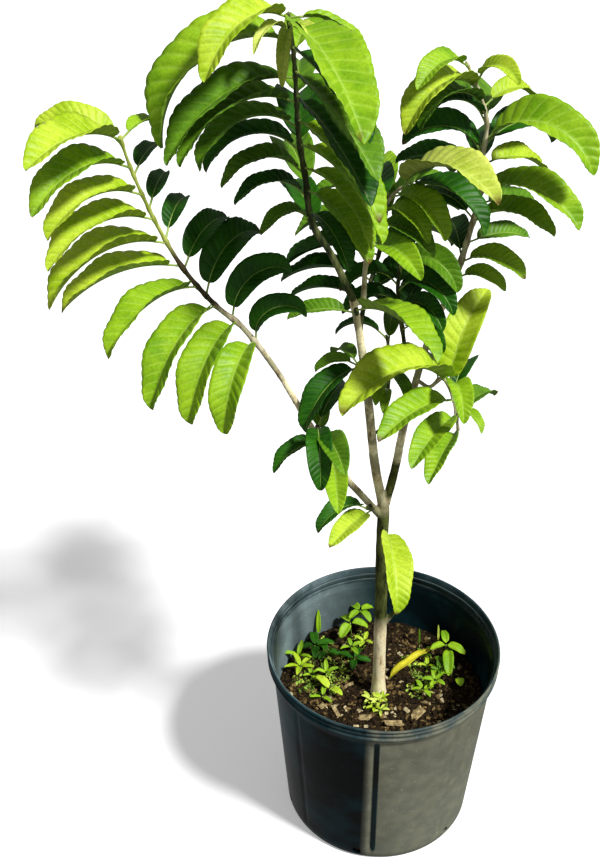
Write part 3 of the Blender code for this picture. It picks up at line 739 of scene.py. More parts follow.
GAP = 0.0003
STEM_SIDES = 5
STEM_STEP = 0.022
BLADE_STATIONS = (0.0, 0.10, 0.32, 0.60, 0.86)
PETIOLE = 0.012
PETIOLE_RADIUS = 0.0012
FOLD = 27.0
THICKNESS = 1.0 / 45.0       # of a blade's length, and never under the thinnest
THINNEST = 0.0007
CLEARANCE = 0.0009
OUTLINE_FOOT = 0.50          # how blunt the blade is at its foot and at its tip
OUTLINE_TIP = 0.66
PEAK = OUTLINE_FOOT / (OUTLINE_FOOT + OUTLINE_TIP)
TURNS = (0, -7, 7, -14, 14, -22, 22)
LIFTS = (0, 8, -8, 16, -16)

# A rank has a letter for each leaf's tint: d deep, g green, b bright, l lime and
# y young. Deep, green, bright and lime are darker and lighter copies of one leaf
# green, dealt out as painted shade and painted light: deep for leaves in shade,
# lime for leaves in sun. The rest runs evenly from its first leaf to its last:
# span is the share of the stem, azimuth 0 is +X and 90 is +Y, rise is the blade's
# slope at its foot and droop at its tip. Angles are in degrees.
SHOOTS = [
    Shoot("mass_top", "bough_main", (0.0038, 0.0013),
          [(-0.069, -0.012, 0.785), (-0.089, -0.020, 0.825), (-0.095, -0.028, 0.873),
           (-0.101, -0.034, 0.914), (-0.103, -0.040, 0.951), (-0.105, -0.050, 0.990),
           (-0.110, -0.064, 1.034)],
          [Rank("gdgdggg", (0.33, 0.80), (222, 205, 200, 210, 218), (45, 48, 36, 16),
                (-45, -60, -72, -58), (0.062, 0.085, 0.112, 0.142), (-8, 0), 0.32),
           Rank("b", 0.92, 200, 14, -98, 0.160, -8),
           Rank("l", 0.99, 229, 27, -60, 0.105, -2),
           Rank("b", 0.975, -64, 2, -46, 0.150, -14),
           Rank("dbbbbdgd", (0.36, 0.90), (-62, -40, -56, -64), (5, -8, -6), (-55, -72, -42, -28),
                (0.074, 0.118, 0.128), (-4, -16)),
           Rank("yyyb", (0.93, 0.99), (215, 260, 300, 350), (30, 5), -82, (0.055, 0.075), 0, 0.22),
           Rank("dgdgb", (0.28, 0.86), (112, 78), (38, 30), (-40, -55), (0.085, 0.120, 0.095),
                0)]),
    Shoot("mass_left", "bough_left", (0.0028, 0.0012),
          [(-0.157, -0.065, 0.740), (-0.179, -0.070, 0.764), (-0.205, -0.080, 0.806),
           (-0.224, -0.090, 0.852), (-0.237, -0.100, 0.894), (-0.245, -0.105, 0.924),
           (-0.249, -0.110, 0.947)],
          [Rank("bbbbllllbl", (0.05, 0.99), (250, 244, 240, 206, 218, 224, 228, 237),
                (12, 8, 20, 20, 26, 28, 30), (-90, -76, -58, -45, -60, -45, -50, -18),
                (0.105, 0.120, 0.115, 0.112, 0.128, 0.092, 0.100, 0.115), (8, 14, 2, -6)),
           Rank("l", 0.97, 192, 50, -40, 0.070, -16),
           Rank("dddddddb", (0.04, 0.99), (12, 44, 62, 80, 84, 66), (84, 74, 40, 18, 14),
                (-60, -46, -26, -16, -30), (0.070, 0.096, 0.062, 0.050, 0.046), (32, 20, 4, 0))]),
    Shoot("mass_right", "bough_right", (0.0034, 0.0012),
          [(0.060, 0.038, 0.743), (0.069, 0.040, 0.785), (0.075, 0.038, 0.822),
           (0.074, 0.034, 0.864), (0.075, 0.030, 0.900), (0.067, 0.022, 0.928),
           (0.057, 0.014, 0.950), (0.048, 0.004, 0.970)],
          [Rank("bbbbbl", (0.06, 0.13, 0.30, 0.43, 0.64, 0.89), (-30, -35, -40, -36, -50),
                (32, 40, 36, 60), (-55, -45, -32, -68, -50),
                (0.050, 0.070, 0.090, 0.115, 0.128, 0.055), (25, 8, 8, 25)),
           Rank("ggldl", (0.21, 0.38, 0.54, 0.62, 0.78), (28, 40), (6, -5, 8, 20, 32),
                (-28, -46, -66, -54), (0.068, 0.082, 0.078, 0.098, 0.064), 18),
           Rank("ddddglb", (0.31, 0.52, 0.70, 0.80, 0.98), (128, 180, 198, 220, 226),
                (26, 52, 60, 45, 32), (-50, -38, -55, -80, -70, -46),
                (0.080, 0.088, 0.080, 0.070, 0.108, 0.070), (-24, -18, 4, -8)),
           Rank("dgdg", (0.14, 0.72), (96, 82), (34, 26), -42, (0.080, 0.092), 0)]),
    Shoot("mass_centre", "bough_main", (0.0030, 0.0012),
          [(-0.037, 0.003, 0.729), (-0.036, 0.004, 0.762), (-0.031, 0.008, 0.792),
           (-0.022, 0.012, 0.820), (-0.006, 0.018, 0.840), (0.007, 0.020, 0.843)],
          [Rank("bgbbd", (0.46, 0.97), (-53, -46, -53, -55), (30, 34, 26), (-44, -62, -66),
                (0.080, 0.062, 0.095), (18, 0)),
           Rank("y", 0.93, -50, 54, -38, 0.132, 3),
           Rank("dgdg", (0.35, 0.98), (128, 78), (35, 20), -45, (0.080, 0.095), 0)]),
    Shoot("mass_core", "bough_right", (0.0026, 0.0012),
          [(0.013, 0.034, 0.635), (0.009, 0.042, 0.659), (0.004, 0.050, 0.690),
           (0.001, 0.055, 0.717), (0.003, 0.060, 0.741)],
          [Rank("dddg", (0.40, 0.92), (-56, -44, -40), (46, 60), (-56, -76), (0.060, 0.074, 0.084),
                22),
           Rank("dddd", (0.45, 0.98), (150, 232, 160), (40, 52), -50, (0.062, 0.072), -8),
           Rank("ddd", (0.50, 0.97), (86, 70), 34, -40, (0.075, 0.090), 0)]),
    Shoot("mass_twig", "bough_main", (0.0018, 0.0011),
          [(-0.013, 0.010, 0.569), (-0.008, 0.018, 0.593), (-0.006, 0.025, 0.632),
           (-0.007, 0.030, 0.651), (-0.010, 0.035, 0.668)],
          [Rank("bbg", (0.50, 0.62), (262, 236, 292), 28, -68, (0.034, 0.042), 2),
           Rank("ggd", (0.80, 0.98), (-40, 60, 170), 50, -55, (0.045, 0.055), 8)]),
    Shoot("mass_spur_high", "bough_main", (0.0022, 0.0016),
          [(-0.044, -0.014, 0.722), (-0.045, -0.022, 0.732)],
          [Rank("b", 0.95, -52, 33, -34, 0.118, -18),
           Rank("g", 0.55, 172, 5, -40, 0.062, -10)]),
    Shoot("mass_spur_low", "bough_main", (0.0021, 0.0016),
          [(-0.039, -0.016, 0.662), (-0.040, -0.023, 0.667)],
          [Rank("dgg", (0.60, 0.95), (222, 118, 200), (12, 14, 34), (-80, -62, -56),
                (0.088, 0.053, 0.042), (2, -16))]),
    Shoot("mass_lower_right", "bough_right", (0.0022, 0.0013),
          [(0.036, 0.010, 0.620), (0.047, 0.002, 0.636), (0.056, -0.005, 0.627),
           (0.062, -0.010, 0.605), (0.066, -0.015, 0.582)],
          [Rank("l", 0.45, 208, 52, -46, 0.146, -3),
           Rank("l", 0.48, 52, 84, 8, 0.108, 10),
           Rank("bbb", (0.64, 0.98), (224, 240, 248), (22, 14, 2), (-26, -26, -22),
                (0.104, 0.088, 0.078), (4, -6, 20)),
           Rank("bb", (0.52, 0.80), (-86, -60), (55, 40), -70, (0.070, 0.040), -6),
           Rank("gdg", (0.30, 0.86), (112, 70, 52), (34, 20), -50, (0.080, 0.070), 0)]),
    Shoot("mass_lower_left", "bough_left", (0.0024, 0.0015),
          [(-0.066, -0.044, 0.566), (-0.075, -0.051, 0.592), (-0.083, -0.058, 0.618)],
          [Rank("b", 0.14, -84, 10, -34, 0.074, 3),
           Rank("g", 0.72, -72, 34, -22, 0.080, 12),
           Rank("d", 0.97, 250, 32, -84, 0.074, 2),
           Rank("d", 0.40, 215, 40, -66, 0.064, 8),
           Rank("dgd", (0.35, 0.95), (128, 96, 70), 38, -45, (0.064, 0.082), 0)]),
    Shoot("mass_fork_left", "bough_left", (0.0020, 0.0016),
          [(-0.021, -0.020, 0.480), (-0.028, -0.030, 0.490)],
          [Rank("d", 0.95, 218, 40, -58, 0.068, 2),
           Rank("l", 0.34, 238, 16, -8, 0.070, -2),
           Rank("g", 0.70, 110, 30, -30, 0.036, 0)]),
    Shoot("mass_fork_right", "trunk", (0.0020, 0.0016),
          [(-0.006, -0.016, 0.444), (-0.005, -0.022, 0.452)],
          [Rank("l", 0.95, -83, 20, -74, 0.102, -22)]),
    Shoot("mass_back", "bough_main", (0.0030, 0.0013),
          [(-0.036, 0.035, 0.692), (-0.028, 0.075, 0.700), (-0.018, 0.105, 0.718),
           (-0.010, 0.130, 0.742), (-0.005, 0.150, 0.772)],
          [Rank("dddgg", (0.32, 0.98), (165, 182, 176), (28, 34), -48, (0.078, 0.104, 0.080), 0),
           Rank("ddggg", (0.38, 0.98), (38, 22), (28, 34), -48, (0.080, 0.100, 0.078), 0),
           Rank("gb", (0.84, 0.99), (96, 84), (40, 30), -40, 0.090, 0)]),
]


def tree_of(obj):
    return BVHTree.FromPolygons([v.co for v in obj.data.vertices],
                                [tuple(p.vertices) for p in obj.data.polygons])


def leaf_frame(leaf, share):
    """The direction, upper normal and side of the blade at a share of its length."""
    slope = leaf.rise + (leaf.droop - leaf.rise) * share
    along = heading(leaf.azimuth, slope)
    normal = heading(leaf.azimuth, slope + 90)
    side = along.cross(normal)
    roll = math.radians(leaf.roll)
    return (along, normal * math.cos(roll) + side * math.sin(roll),
            side * math.cos(roll) - normal * math.sin(roll))


def leaf_spine(leaf, shares, steps=20):
    """Points of the midrib, at shares of the blade's length."""
    point = leaf.root + leaf_frame(leaf, 0)[0] * PETIOLE
    spine = [point]
    for step in range(steps):
        point = point + leaf_frame(leaf, (step + 0.5) / steps)[0] * (leaf.length / steps)
        spine.append(point)
    found = []
    for share in shares:
        low = min(int(share * steps), steps - 1)
        found.append(spine[low].lerp(spine[low + 1], share * steps - low))
    return found


def leaf_rows(leaf):
    """Plain sections of a leaf from its root to its tip, a clearance proud of it."""
    fold = math.radians(FOLD)
    points = leaf_spine(leaf, BLADE_STATIONS + (1.0,))
    rows = []
    _, normal, side = leaf_frame(leaf, 0)
    radius = PETIOLE_RADIUS + CLEARANCE
    for centre in (leaf.root, points[0]):
        rows.append([centre - side * radius, centre + normal * radius,
                     centre + side * radius, centre - normal * radius])
    for share, centre in list(zip(BLADE_STATIONS, points))[1:]:
        _, normal, side = leaf_frame(leaf, share)
        half = (0.5 * leaf.width * (share / PEAK) ** OUTLINE_FOOT
                * ((1 - share) / (1 - PEAK)) ** OUTLINE_TIP + CLEARANCE)
        deep = max(leaf.length * THICKNESS * 0.5 * (1 - share ** 2), THINNEST) + CLEARANCE
        lift = normal * half * math.sin(fold)
        rows.append([centre - side * half * math.cos(fold) + lift, centre + normal * deep,
                     centre + side * half * math.cos(fold) + lift, centre - normal * deep])
    rows.append([points[-1] + leaf_frame(leaf, 1)[0] * CLEARANCE])
    return rows


def rows_tree(rows):
    """A search tree over rings of as many points, closed flat or ending in a point."""
    sides = len(rows[0])
    points = [p for row in rows for p in row]
    last = len(points) - len(rows[-1])
    turns = [(i, (i + 1) % sides) for i in range(sides)]
    faces = [(low + i, low + j, low + sides + j, low + sides + i)
             for low in range(0, len(points) - 2 * sides + 1, sides) for i, j in turns]
    if len(rows[-1]) == 1:
        faces += [(last - sides + i, last - sides + j, last) for i, j in turns]
    else:
        faces += [tuple(range(sides)), tuple(range(last, last + sides))]
    return BVHTree.FromPolygons(points, faces)


def place_leaf(wanted, others, kin):
    """Turn and lift a leaf until it is clear. others may never be touched, and
    kin, the leaves of the same shoot, only where nothing else is left."""
    second = None
    for lift in LIFTS:
        for turn in TURNS:
            leaf = wanted._replace(azimuth=wanted.azimuth + turn, rise=wanted.rise + lift,
                                   droop=wanted.droop + lift)
            rows = leaf_rows(leaf)
            tree = rows_tree(rows)
            if any(tree.overlap(other) for other in others):
                continue
            if not any(rows_tree(rows[1:]).overlap(other) for other in kin):
                return leaf
            second = second or leaf
    return second


def rank_leaves(shoot, course):
    """The leaves that a shoot's ranks ask for, with their tints, before they are tested."""
    total = curve_length(course)
    chance = random.Random(shoot.name)
    for rank in shoot.ranks:
        for i, tint in enumerate(rank.tints):
            share = i / max(len(rank.tints) - 1, 1)
            root, _ = at_length(course, blend(rank.span, share) * total)
            length = blend(rank.length, share) * chance.uniform(0.96, 1.04)
            yield tint, Leaf(
                root, blend(rank.azimuth, share) + chance.uniform(-4, 4),
                blend(rank.rise, share) + chance.uniform(-4, 4),
                blend(rank.droop, share) + chance.uniform(-5, 5), length,
                blend(rank.roll, share) + chance.uniform(-5, 5), length * rank.aspect)


def shoot_course(shoot):
    """The stem's curve, from just off its bough, and the way its foot faces."""
    limb = TRUNK if shoot.bough == "trunk" else BOUGHS[shoot.bough]
    carrier = curves[shoot.bough]
    first = Vector(shoot.route[0])
    foot, direction, share = nearest(carrier, first)
    if share > 0.999:
        facing = direction
        start = carrier[-1] + direction * GAP
    else:
        facing = first - foot
        facing = (facing - direction * facing.dot(direction)).normalized()
        start = foot + facing * (blend(limb.radii, share) + GAP)
    return smooth([start, *shoot.route]), facing


courses = {}
taken = {name: tree_of(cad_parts[name]) for name in ["pot", "soil", "trunk", *BOUGHS]}
for shoot in SHOOTS:
    courses[shoot.name], facing = shoot_course(shoot)
    total = curve_length(courses[shoot.name])
    rows = limb_rows(courses[shoot.name], lambda d: blend(shoot.radii, d / total), STEM_SIDES,
                     STEM_STEP, facing)
    taken[shoot.name] = rows_tree(rows)
leaves = []
for shoot in SHOOTS:
    others = [tree for name, tree in taken.items() if name != shoot.name]
    kin = []
    for tint, wanted in rank_leaves(shoot, courses[shoot.name]):
        leaf = place_leaf(wanted, others, kin)
        if leaf is not None:
            kin.append(rows_tree(leaf_rows(leaf)[1:]))
            leaves.append((shoot.name, tint, leaf))
    taken[shoot.name] = tree_of(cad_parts[shoot.name])
print("leaves placed:", len(leaves))


# ===================================================================== stems
# Slim stems grow out of the boughs, woody low down and green above, with a
# swelling at each leaf's foot. A stem is a tapering tube sunk into its bough.

NODE_SWELLING = 0.0007
NODE_REACH = 0.0035
SUNK = 0.0030                # how far a stem's foot runs into its bough
SKIN_SIDES = 12
SKIN_STEP = 0.003
WOODY = ("mass_right", "mass_centre", "mass_lower_right")


def stem_bark(name, dark, mid, light, ripe=None, young=None):
    """Streaked bark. ripe and young give heights where it darkens and where it turns green."""
    made, tree, shader, place = new_material(name, Roughness=0.62, Specular_IOR_Level=0.2)
    streaks = noise_at(tree, place, 140.0, 5.0, 0.6, (1.0, 1.0, 0.3))
    colour = ramp(tree, streaks, (0.34, dark), (0.50, mid), (0.66, light))
    if ripe:
        height = split(tree, place)["Z"]
        brown = ramp(tree, streaks, (0.36, (0.014, 0.010, 0.004)), (0.62, (0.120, 0.085, 0.045)))
        green = ramp(tree, streaks, (0.36, (0.300, 0.360, 0.050)), (0.60, (0.600, 0.640, 0.160)))
        colour = mixed(tree, band_of(tree, height, *ripe), colour, brown)
        colour = mixed(tree, band_of(tree, height, *young), colour, green)
    paint(tree, shader, Base_Color=colour, Normal=bump(tree, streaks, 0.0008, 0.6))
    return made


def stem_skin(bm, shoot):
    course = courses[shoot.name]
    total = curve_length(course)
    feet = [nearest(course, leaf.root)[2] * total
            for name, _, leaf in leaves if name == shoot.name]

    def radius(distance):
        swell = sum(math.exp(-((distance - foot) / NODE_REACH) ** 2) for foot in feet)
        return blend(shoot.radii, distance / total) + NODE_SWELLING * min(swell, 1.0)

    _, facing = shoot_course(shoot)
    rows = limb_rows(course, radius, SKIN_SIDES, SKIN_STEP, facing)
    foot = [p - facing * SUNK for p in rows[0]]
    tip = course[-1] + (course[-1] - course[-2]).normalized() * shoot.radii[1]
    add_skin(bm, [foot] + rows + [[tip]])


PALE_BARK = ((0.220, 0.165, 0.085), (0.560, 0.480, 0.300), (0.800, 0.740, 0.520))
for name, wanted, finish in [
        ("woody_stems", [s for s in SHOOTS if s.name in WOODY],
         stem_bark("stem_bark_pale", *PALE_BARK)),
        ("left_stem", [s for s in SHOOTS if s.name == "mass_left"],
         stem_bark("stem_bark_left", *PALE_BARK, ripe=(0.748, 0.768), young=(0.822, 0.842))),
        ("green_stems", [s for s in SHOOTS if s.name not in (*WOODY, "mass_left")],
         stem_bark("stem_bark_green", (0.020, 0.028, 0.010), (0.060, 0.075, 0.022),
                   (0.190, 0.200, 0.075)))]:
    bm = bmesh.new()
    for shoot in wanted:
        stem_skin(bm, shoot)
    stems = meshed(name, bm, finish)
    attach(stems, "root")
    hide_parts(*[shoot.name for shoot in wanted])


# ================================================================ leafstalks
# Each leaf hangs on a short green stalk, which runs on as the midrib under its
# blade and shows as a pale line. They are tubes that bend as the blades do.

def stalk_green():
    made, tree, shader, place = new_material("stalk_green", Roughness=0.5)
    tone = noise_at(tree, place, 60.0, 3.0)
    colour = ramp(tree, tone, (0.38, (0.200, 0.330, 0.040)), (0.62, (0.420, 0.560, 0.120)))
    paint(tree, shader, Base_Color=colour, Normal=bump(tree, tone, 0.0003, 0.4))
    return made


def stalk_rows(leaf):
    """Rings of a stalk and midrib, from inside the stem to the blade's tip."""
    stalk = [(0.00, 0.0016), (0.25, 0.0011), (0.60, 0.0010), (1.00, 0.0011)]
    rows = [(leaf.root + leaf_frame(leaf, 0)[0] * PETIOLE * share, 0.0, radius)
            for share, radius in stalk]
    shares = [0.03 + 0.94 * i / 24 for i in range(25)]
    rows += [(centre, share, 0.00095 - 0.00070 * share)
             for share, centre in zip(shares, leaf_spine(leaf, shares))]
    rings = []
    for centre, share, radius in rows:
        _, normal, side = leaf_frame(leaf, share)
        rings.append(ring_at(centre - normal * radius * 0.45, side, normal, radius, 7))
    return rings


bm = bmesh.new()
for _, _, leaf in leaves:
    add_skin(bm, stalk_rows(leaf))
stalks = meshed("leafstalks", bm, stalk_green())
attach(stalks, "root")
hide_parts(*[shoot.name for shoot in SHOOTS])


# ==================================================================== leaves
# Thin blades, arched along, folded across, quilted between the veins and waved
# at the edge. A flat grid whose rows follow the side veins is set at each leaf's
# root and bent by nodes, by the same rule as its stalk.

class Field:
    """A value that nodes work out, so that a blade's shape reads as plain sums."""

    def __init__(self, tree, socket):
        self.tree = tree
        self.socket = socket

    def __add__(self, other):
        return reckon(self.tree, "ADD", self, other)

    def __sub__(self, other):
        return reckon(self.tree, "SUBTRACT", self, other)

    def __rsub__(self, other):
        return reckon(self.tree, "SUBTRACT", other, self)

    def __mul__(self, other):
        return reckon(self.tree, "MULTIPLY", self, other)

    def __truediv__(self, other):
        return reckon(self.tree, "DIVIDE", self, other)

    def __pow__(self, other):
        return reckon(self.tree, "POWER", self, other)

    __radd__ = __add__
    __rmul__ = __mul__


def reckon(tree, operation, *values):
    """A Math node on fields, sockets or numbers."""
    plain = [v.socket if isinstance(v, Field) else v for v in values]
    made = add_node(tree, "ShaderNodeMath", *plain, operation=operation)
    return Field(tree, made.outputs[0])


LEAF_TRAITS = ("azimuth", "rise", "droop", "length", "roll", "width", "petiole", "phase")


def blade_tree():
    tree, given, out = geometry_tree(
        "leaf_blades", ("Rows", "Int", 65), ("Columns", "Int", 12), ("Veins", "Float", 13.0),
        ("Slant", "Float", 0.24), ("Fold", "Float", 0.52), ("Quilting", "Float", 0.018),
        ("Wave", "Float", 0.012), ("Material", "Material", None))

    def sine(value):
        return reckon(tree, "SINE", value)

    def cosine(value):
        return reckon(tree, "COSINE", value)

    def named(name, kind):
        return add_node(tree, "GeometryNodeInputNamedAttribute", Name=name, data_type=kind)

    def trait(name):
        return Field(tree, named(name, "FLOAT").outputs[0])

    grid = add_node(tree, "GeometryNodeMeshGrid", Size_X=1.0, Size_Y=2.0,
                    Vertices_X=reckon(tree, "ADD", given["Rows"], 1.0).socket,
                    Vertices_Y=reckon(tree, "ADD", given["Columns"], 1.0).socket)
    place = add_node(tree, "GeometryNodeInputPosition")
    parts = split(tree, place.outputs[0])
    lengthways = reckon(tree, "ADD", parts["X"], 0.5).socket
    chart = add_node(tree, "ShaderNodeCombineXYZ", lengthways, parts["Y"]).outputs[0]
    mesh = grid.outputs["Mesh"]
    for name, value, kind, domain in (("along", lengthways, "FLOAT", "POINT"),
                                      ("across", parts["Y"], "FLOAT", "POINT"),
                                      ("leaf_chart", chart, "FLOAT2", "CORNER")):
        stored = add_node(tree, "GeometryNodeStoreNamedAttribute", Geometry=mesh, Name=name,
                          Value=value, data_type=kind, domain=domain)
        mesh = stored.outputs[0]
    spread = add_node(tree, "GeometryNodeInstanceOnPoints", Points=given["Geometry"],
                      Instance=mesh)
    real = add_node(tree, "GeometryNodeRealizeInstances", spread.outputs[0])
    azimuth, rise, droop, length, roll, width, petiole, phase = map(trait, LEAF_TRAITS)
    row = trait("along")
    across = trait("across")
    off = reckon(tree, "ABSOLUTE", across)
    slanted = row + Field(tree, given["Slant"]) * 2.0 * off * row * (1.0 - row)
    share = reckon(tree, "MINIMUM", slanted, 1.0)
    half = (0.5 * width * (share / PEAK) ** OUTLINE_FOOT
            * ((1.0 - share) / (1 - PEAK)) ** OUTLINE_TIP)
    bend = droop - rise
    slope = rise + bend * share
    quilt = reckon(tree, "ABSOLUTE", sine(row * given["Veins"] * math.pi)) ** 0.8
    wave = sine((row * 2.5 + phase) * (2 * math.pi))
    lift = (off * half * sine(Field(tree, given["Fold"]))
            + Field(tree, given["Quilting"]) * length * quilt * off * (1.9 - 1.4 * off)
            * reckon(tree, "SMOOTH_MIN", 1.0, 6.0 * (1.0 - row), 0.1)
            + Field(tree, given["Wave"]) * length * wave * off * off)
    aside = across * half * cosine(Field(tree, given["Fold"]))
    proud = aside * sine(roll) + lift * cosine(roll)
    reach = (petiole * cosine(rise) + length * (sine(slope) - sine(rise)) / bend
             - sine(slope) * proud)
    height = (petiole * sine(rise) + length * (cosine(rise) - cosine(slope)) / bend
              + cosine(slope) * proud)
    sideways = aside * cosine(roll) - lift * sine(roll)
    offset = add_node(tree, "ShaderNodeCombineXYZ",
                      (reach * cosine(azimuth) - sideways * sine(azimuth)).socket,
                      (reach * sine(azimuth) + sideways * cosine(azimuth)).socket, height.socket)
    target = add_node(tree, "ShaderNodeVectorMath", named("root", "FLOAT_VECTOR").outputs[0],
                      offset.outputs[0], operation="ADD")
    bent = add_node(tree, "GeometryNodeSetPosition", Geometry=real.outputs[0],
                    Position=target.outputs[0])
    merged = add_node(tree, "GeometryNodeMergeByDistance", Geometry=bent.outputs[0],
                      Distance=0.00003)
    soft = add_node(tree, "GeometryNodeSetShadeSmooth", Geometry=merged.outputs[0])
    painted = add_node(tree, "GeometryNodeSetMaterial", Geometry=soft.outputs[0],
                       Material=given["Material"])
    tree.links.new(painted.outputs[0], out["Geometry"])
    return tree


blade_nodes = blade_tree()


def blades(name, wanted, upper, under, thickness, **values):
    """One mesh of leaf blades, closed, with an upper and an under face."""
    chance = random.Random(name)
    mesh = bpy.data.meshes.new(name)
    mesh.from_pydata([leaf.root for leaf, _ in wanted], [], [])
    roots = mesh.attributes.new("root", "FLOAT_VECTOR", "POINT")
    roots.data.foreach_set("vector", [c for leaf, _ in wanted for c in leaf.root])
    columns = [[math.radians(leaf.azimuth), math.radians(leaf.rise),
                math.radians(leaf.droop if abs(leaf.droop - leaf.rise) > 1 else leaf.rise - 1),
                leaf.length, math.radians(leaf.roll), leaf.width, petiole, chance.random()]
               for leaf, petiole in wanted]
    for trait, column in zip(LEAF_TRAITS, zip(*columns)):
        mesh.attributes.new(trait, "FLOAT", "POINT").data.foreach_set("value", column)
    obj = run_nodes(link(name, mesh), blade_nodes, Material=upper, **values)
    for trait in (*LEAF_TRAITS, "root", "along", "across"):
        obj.data.attributes.remove(obj.data.attributes[trait])
    obj.data.materials.append(under)
    skinned = obj.modifiers.new("thickness", "SOLIDIFY")
    skinned.thickness = thickness
    skinned.offset = -1
    skinned.material_offset = 1
    return applied(obj)


def leaf_skin_group():
    """A blade's colours and relief, on its own chart: along, and across from -1 to 1.
    Two shades in soft patches, paler veins and a few scorched tips."""
    tree, given, out = group(
        "leaf_skin", [("Vector", "Vector", None), ("Chart", "Vector", None),
                      ("Dark", "Color", None), ("Light", "Color", None),
                      ("Vein", "Color", None), ("Show", "Float", 0.4),
                      ("Veins", "Float", 13.0), ("Width", "Float", 0.16)],
        [("Color", "Color"), ("Height", "Color")])
    place = given["Vector"]
    axes = split(tree, given["Chart"])
    off = reckon(tree, "ABSOLUTE", axes["Y"])
    beat = reckon(tree, "PINGPONG", Field(tree, axes["X"]) * given["Veins"], 0.5)
    side = Field(tree, band_of(tree, beat.socket, 0.0, given["Width"], rises=False))
    rib = band_of(tree, off.socket, 0.02, 0.08, rises=False)
    lines = reckon(tree, "MAXIMUM", side * (1.0 - off ** 3.0), rib)
    patches = band_of(tree, noise_at(tree, place, 38.0, 4.0), 0.36, 0.62)
    pores = noise_at(tree, place, 420.0, 3.0, 0.6)
    mottled = times(tree, mixed(tree, patches, given["Dark"], given["Light"]),
                    ramp(tree, pores, (0.38, 0.62), (0.60, 1.0)), 0.5)
    veined = mixed(tree, (lines * given["Show"]).socket, mottled, given["Vein"])
    scorch = band_of(tree, noise_at(tree, place, 30.0, 2.0), 0.54, 0.58)
    tipped = times(tree, band_of(tree, axes["X"], 0.90, 0.99), scorch)
    tree.links.new(mixed(tree, tipped, veined, (0.120, 0.055, 0.018)), out["Color"])
    tree.links.new(mixed(tree, 0.35, lines.socket, pores), out["Height"])
    return tree


leaf_skin = leaf_skin_group()


def leaf_green(name, dark, light, vein, rough, show):
    made, tree, shader, place = new_material(name, Roughness=rough, Specular_IOR_Level=0.22)
    chart = add_node(tree, "ShaderNodeUVMap", uv_map="leaf_chart")
    shown = add_group(tree, leaf_skin, Vector=place, Chart=chart.outputs[0], Dark=(*dark, 1),
                      Light=(*light, 1), Vein=(*vein, 1), Show=show)
    paint(tree, shader, Base_Color=shown["Color"],
          Normal=bump(tree, shown["Height"], 0.0004, 0.5, invert=True))
    return made


LEAF_THICK = 0.0004
UPPER_ROUGH = 0.44           # an upper face shines a little more than an under face
UNDER_ROUGH = 0.62
# Deep is painted shade and lime is painted light: d, g, b and l are darker and lighter copies of
# one leaf green, dealt out to leaves, weeds and moss by how light falls on them.
TINTS = {  # each tint's dark and light shade, and its veins
    "d": ("deep", (0.009, 0.072, 0.001), (0.026, 0.142, 0.002), (0.060, 0.200, 0.010)),
    "g": ("green", (0.066, 0.185, 0.003), (0.140, 0.320, 0.012), (0.240, 0.420, 0.040)),
    "b": ("bright", (0.175, 0.380, 0.005), (0.325, 0.550, 0.014), (0.460, 0.650, 0.090)),
    "l": ("lime", (0.330, 0.520, 0.006), (0.540, 0.710, 0.040), (0.640, 0.780, 0.120)),
    "s": ("straw", (0.480, 0.430, 0.014), (0.760, 0.690, 0.030), (0.820, 0.780, 0.120)),
    "y": ("young", (0.480, 0.600, 0.060), (0.720, 0.820, 0.140), (0.780, 0.870, 0.240)),
}
for letter, (tint, dark, light, vein) in TINTS.items():
    chosen = [(name, leaf) for name, given, leaf in leaves if given == letter]
    upper = leaf_green("leaf_" + tint, dark, light, vein, UPPER_ROUGH, 0.40)
    under = leaf_green("leaf_" + tint + "_under", tuple(0.75 * c + 0.02 for c in dark),
                       tuple(0.75 * c + 0.03 for c in light), vein, UNDER_ROUGH, 0.60)
    if chosen:
        made = blades("leaves_" + tint, [(leaf, PETIOLE) for _, leaf in chosen], upper, under,
                      LEAF_THICK)
        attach(made, "root")
        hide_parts(*{name for name, _ in chosen})


# =============================================================== seedlings
# Small weeds and patches of moss have come up in the mix. A weed is a thin stem
# with a few leaves round its top, from the same blade nodes, only plainer.

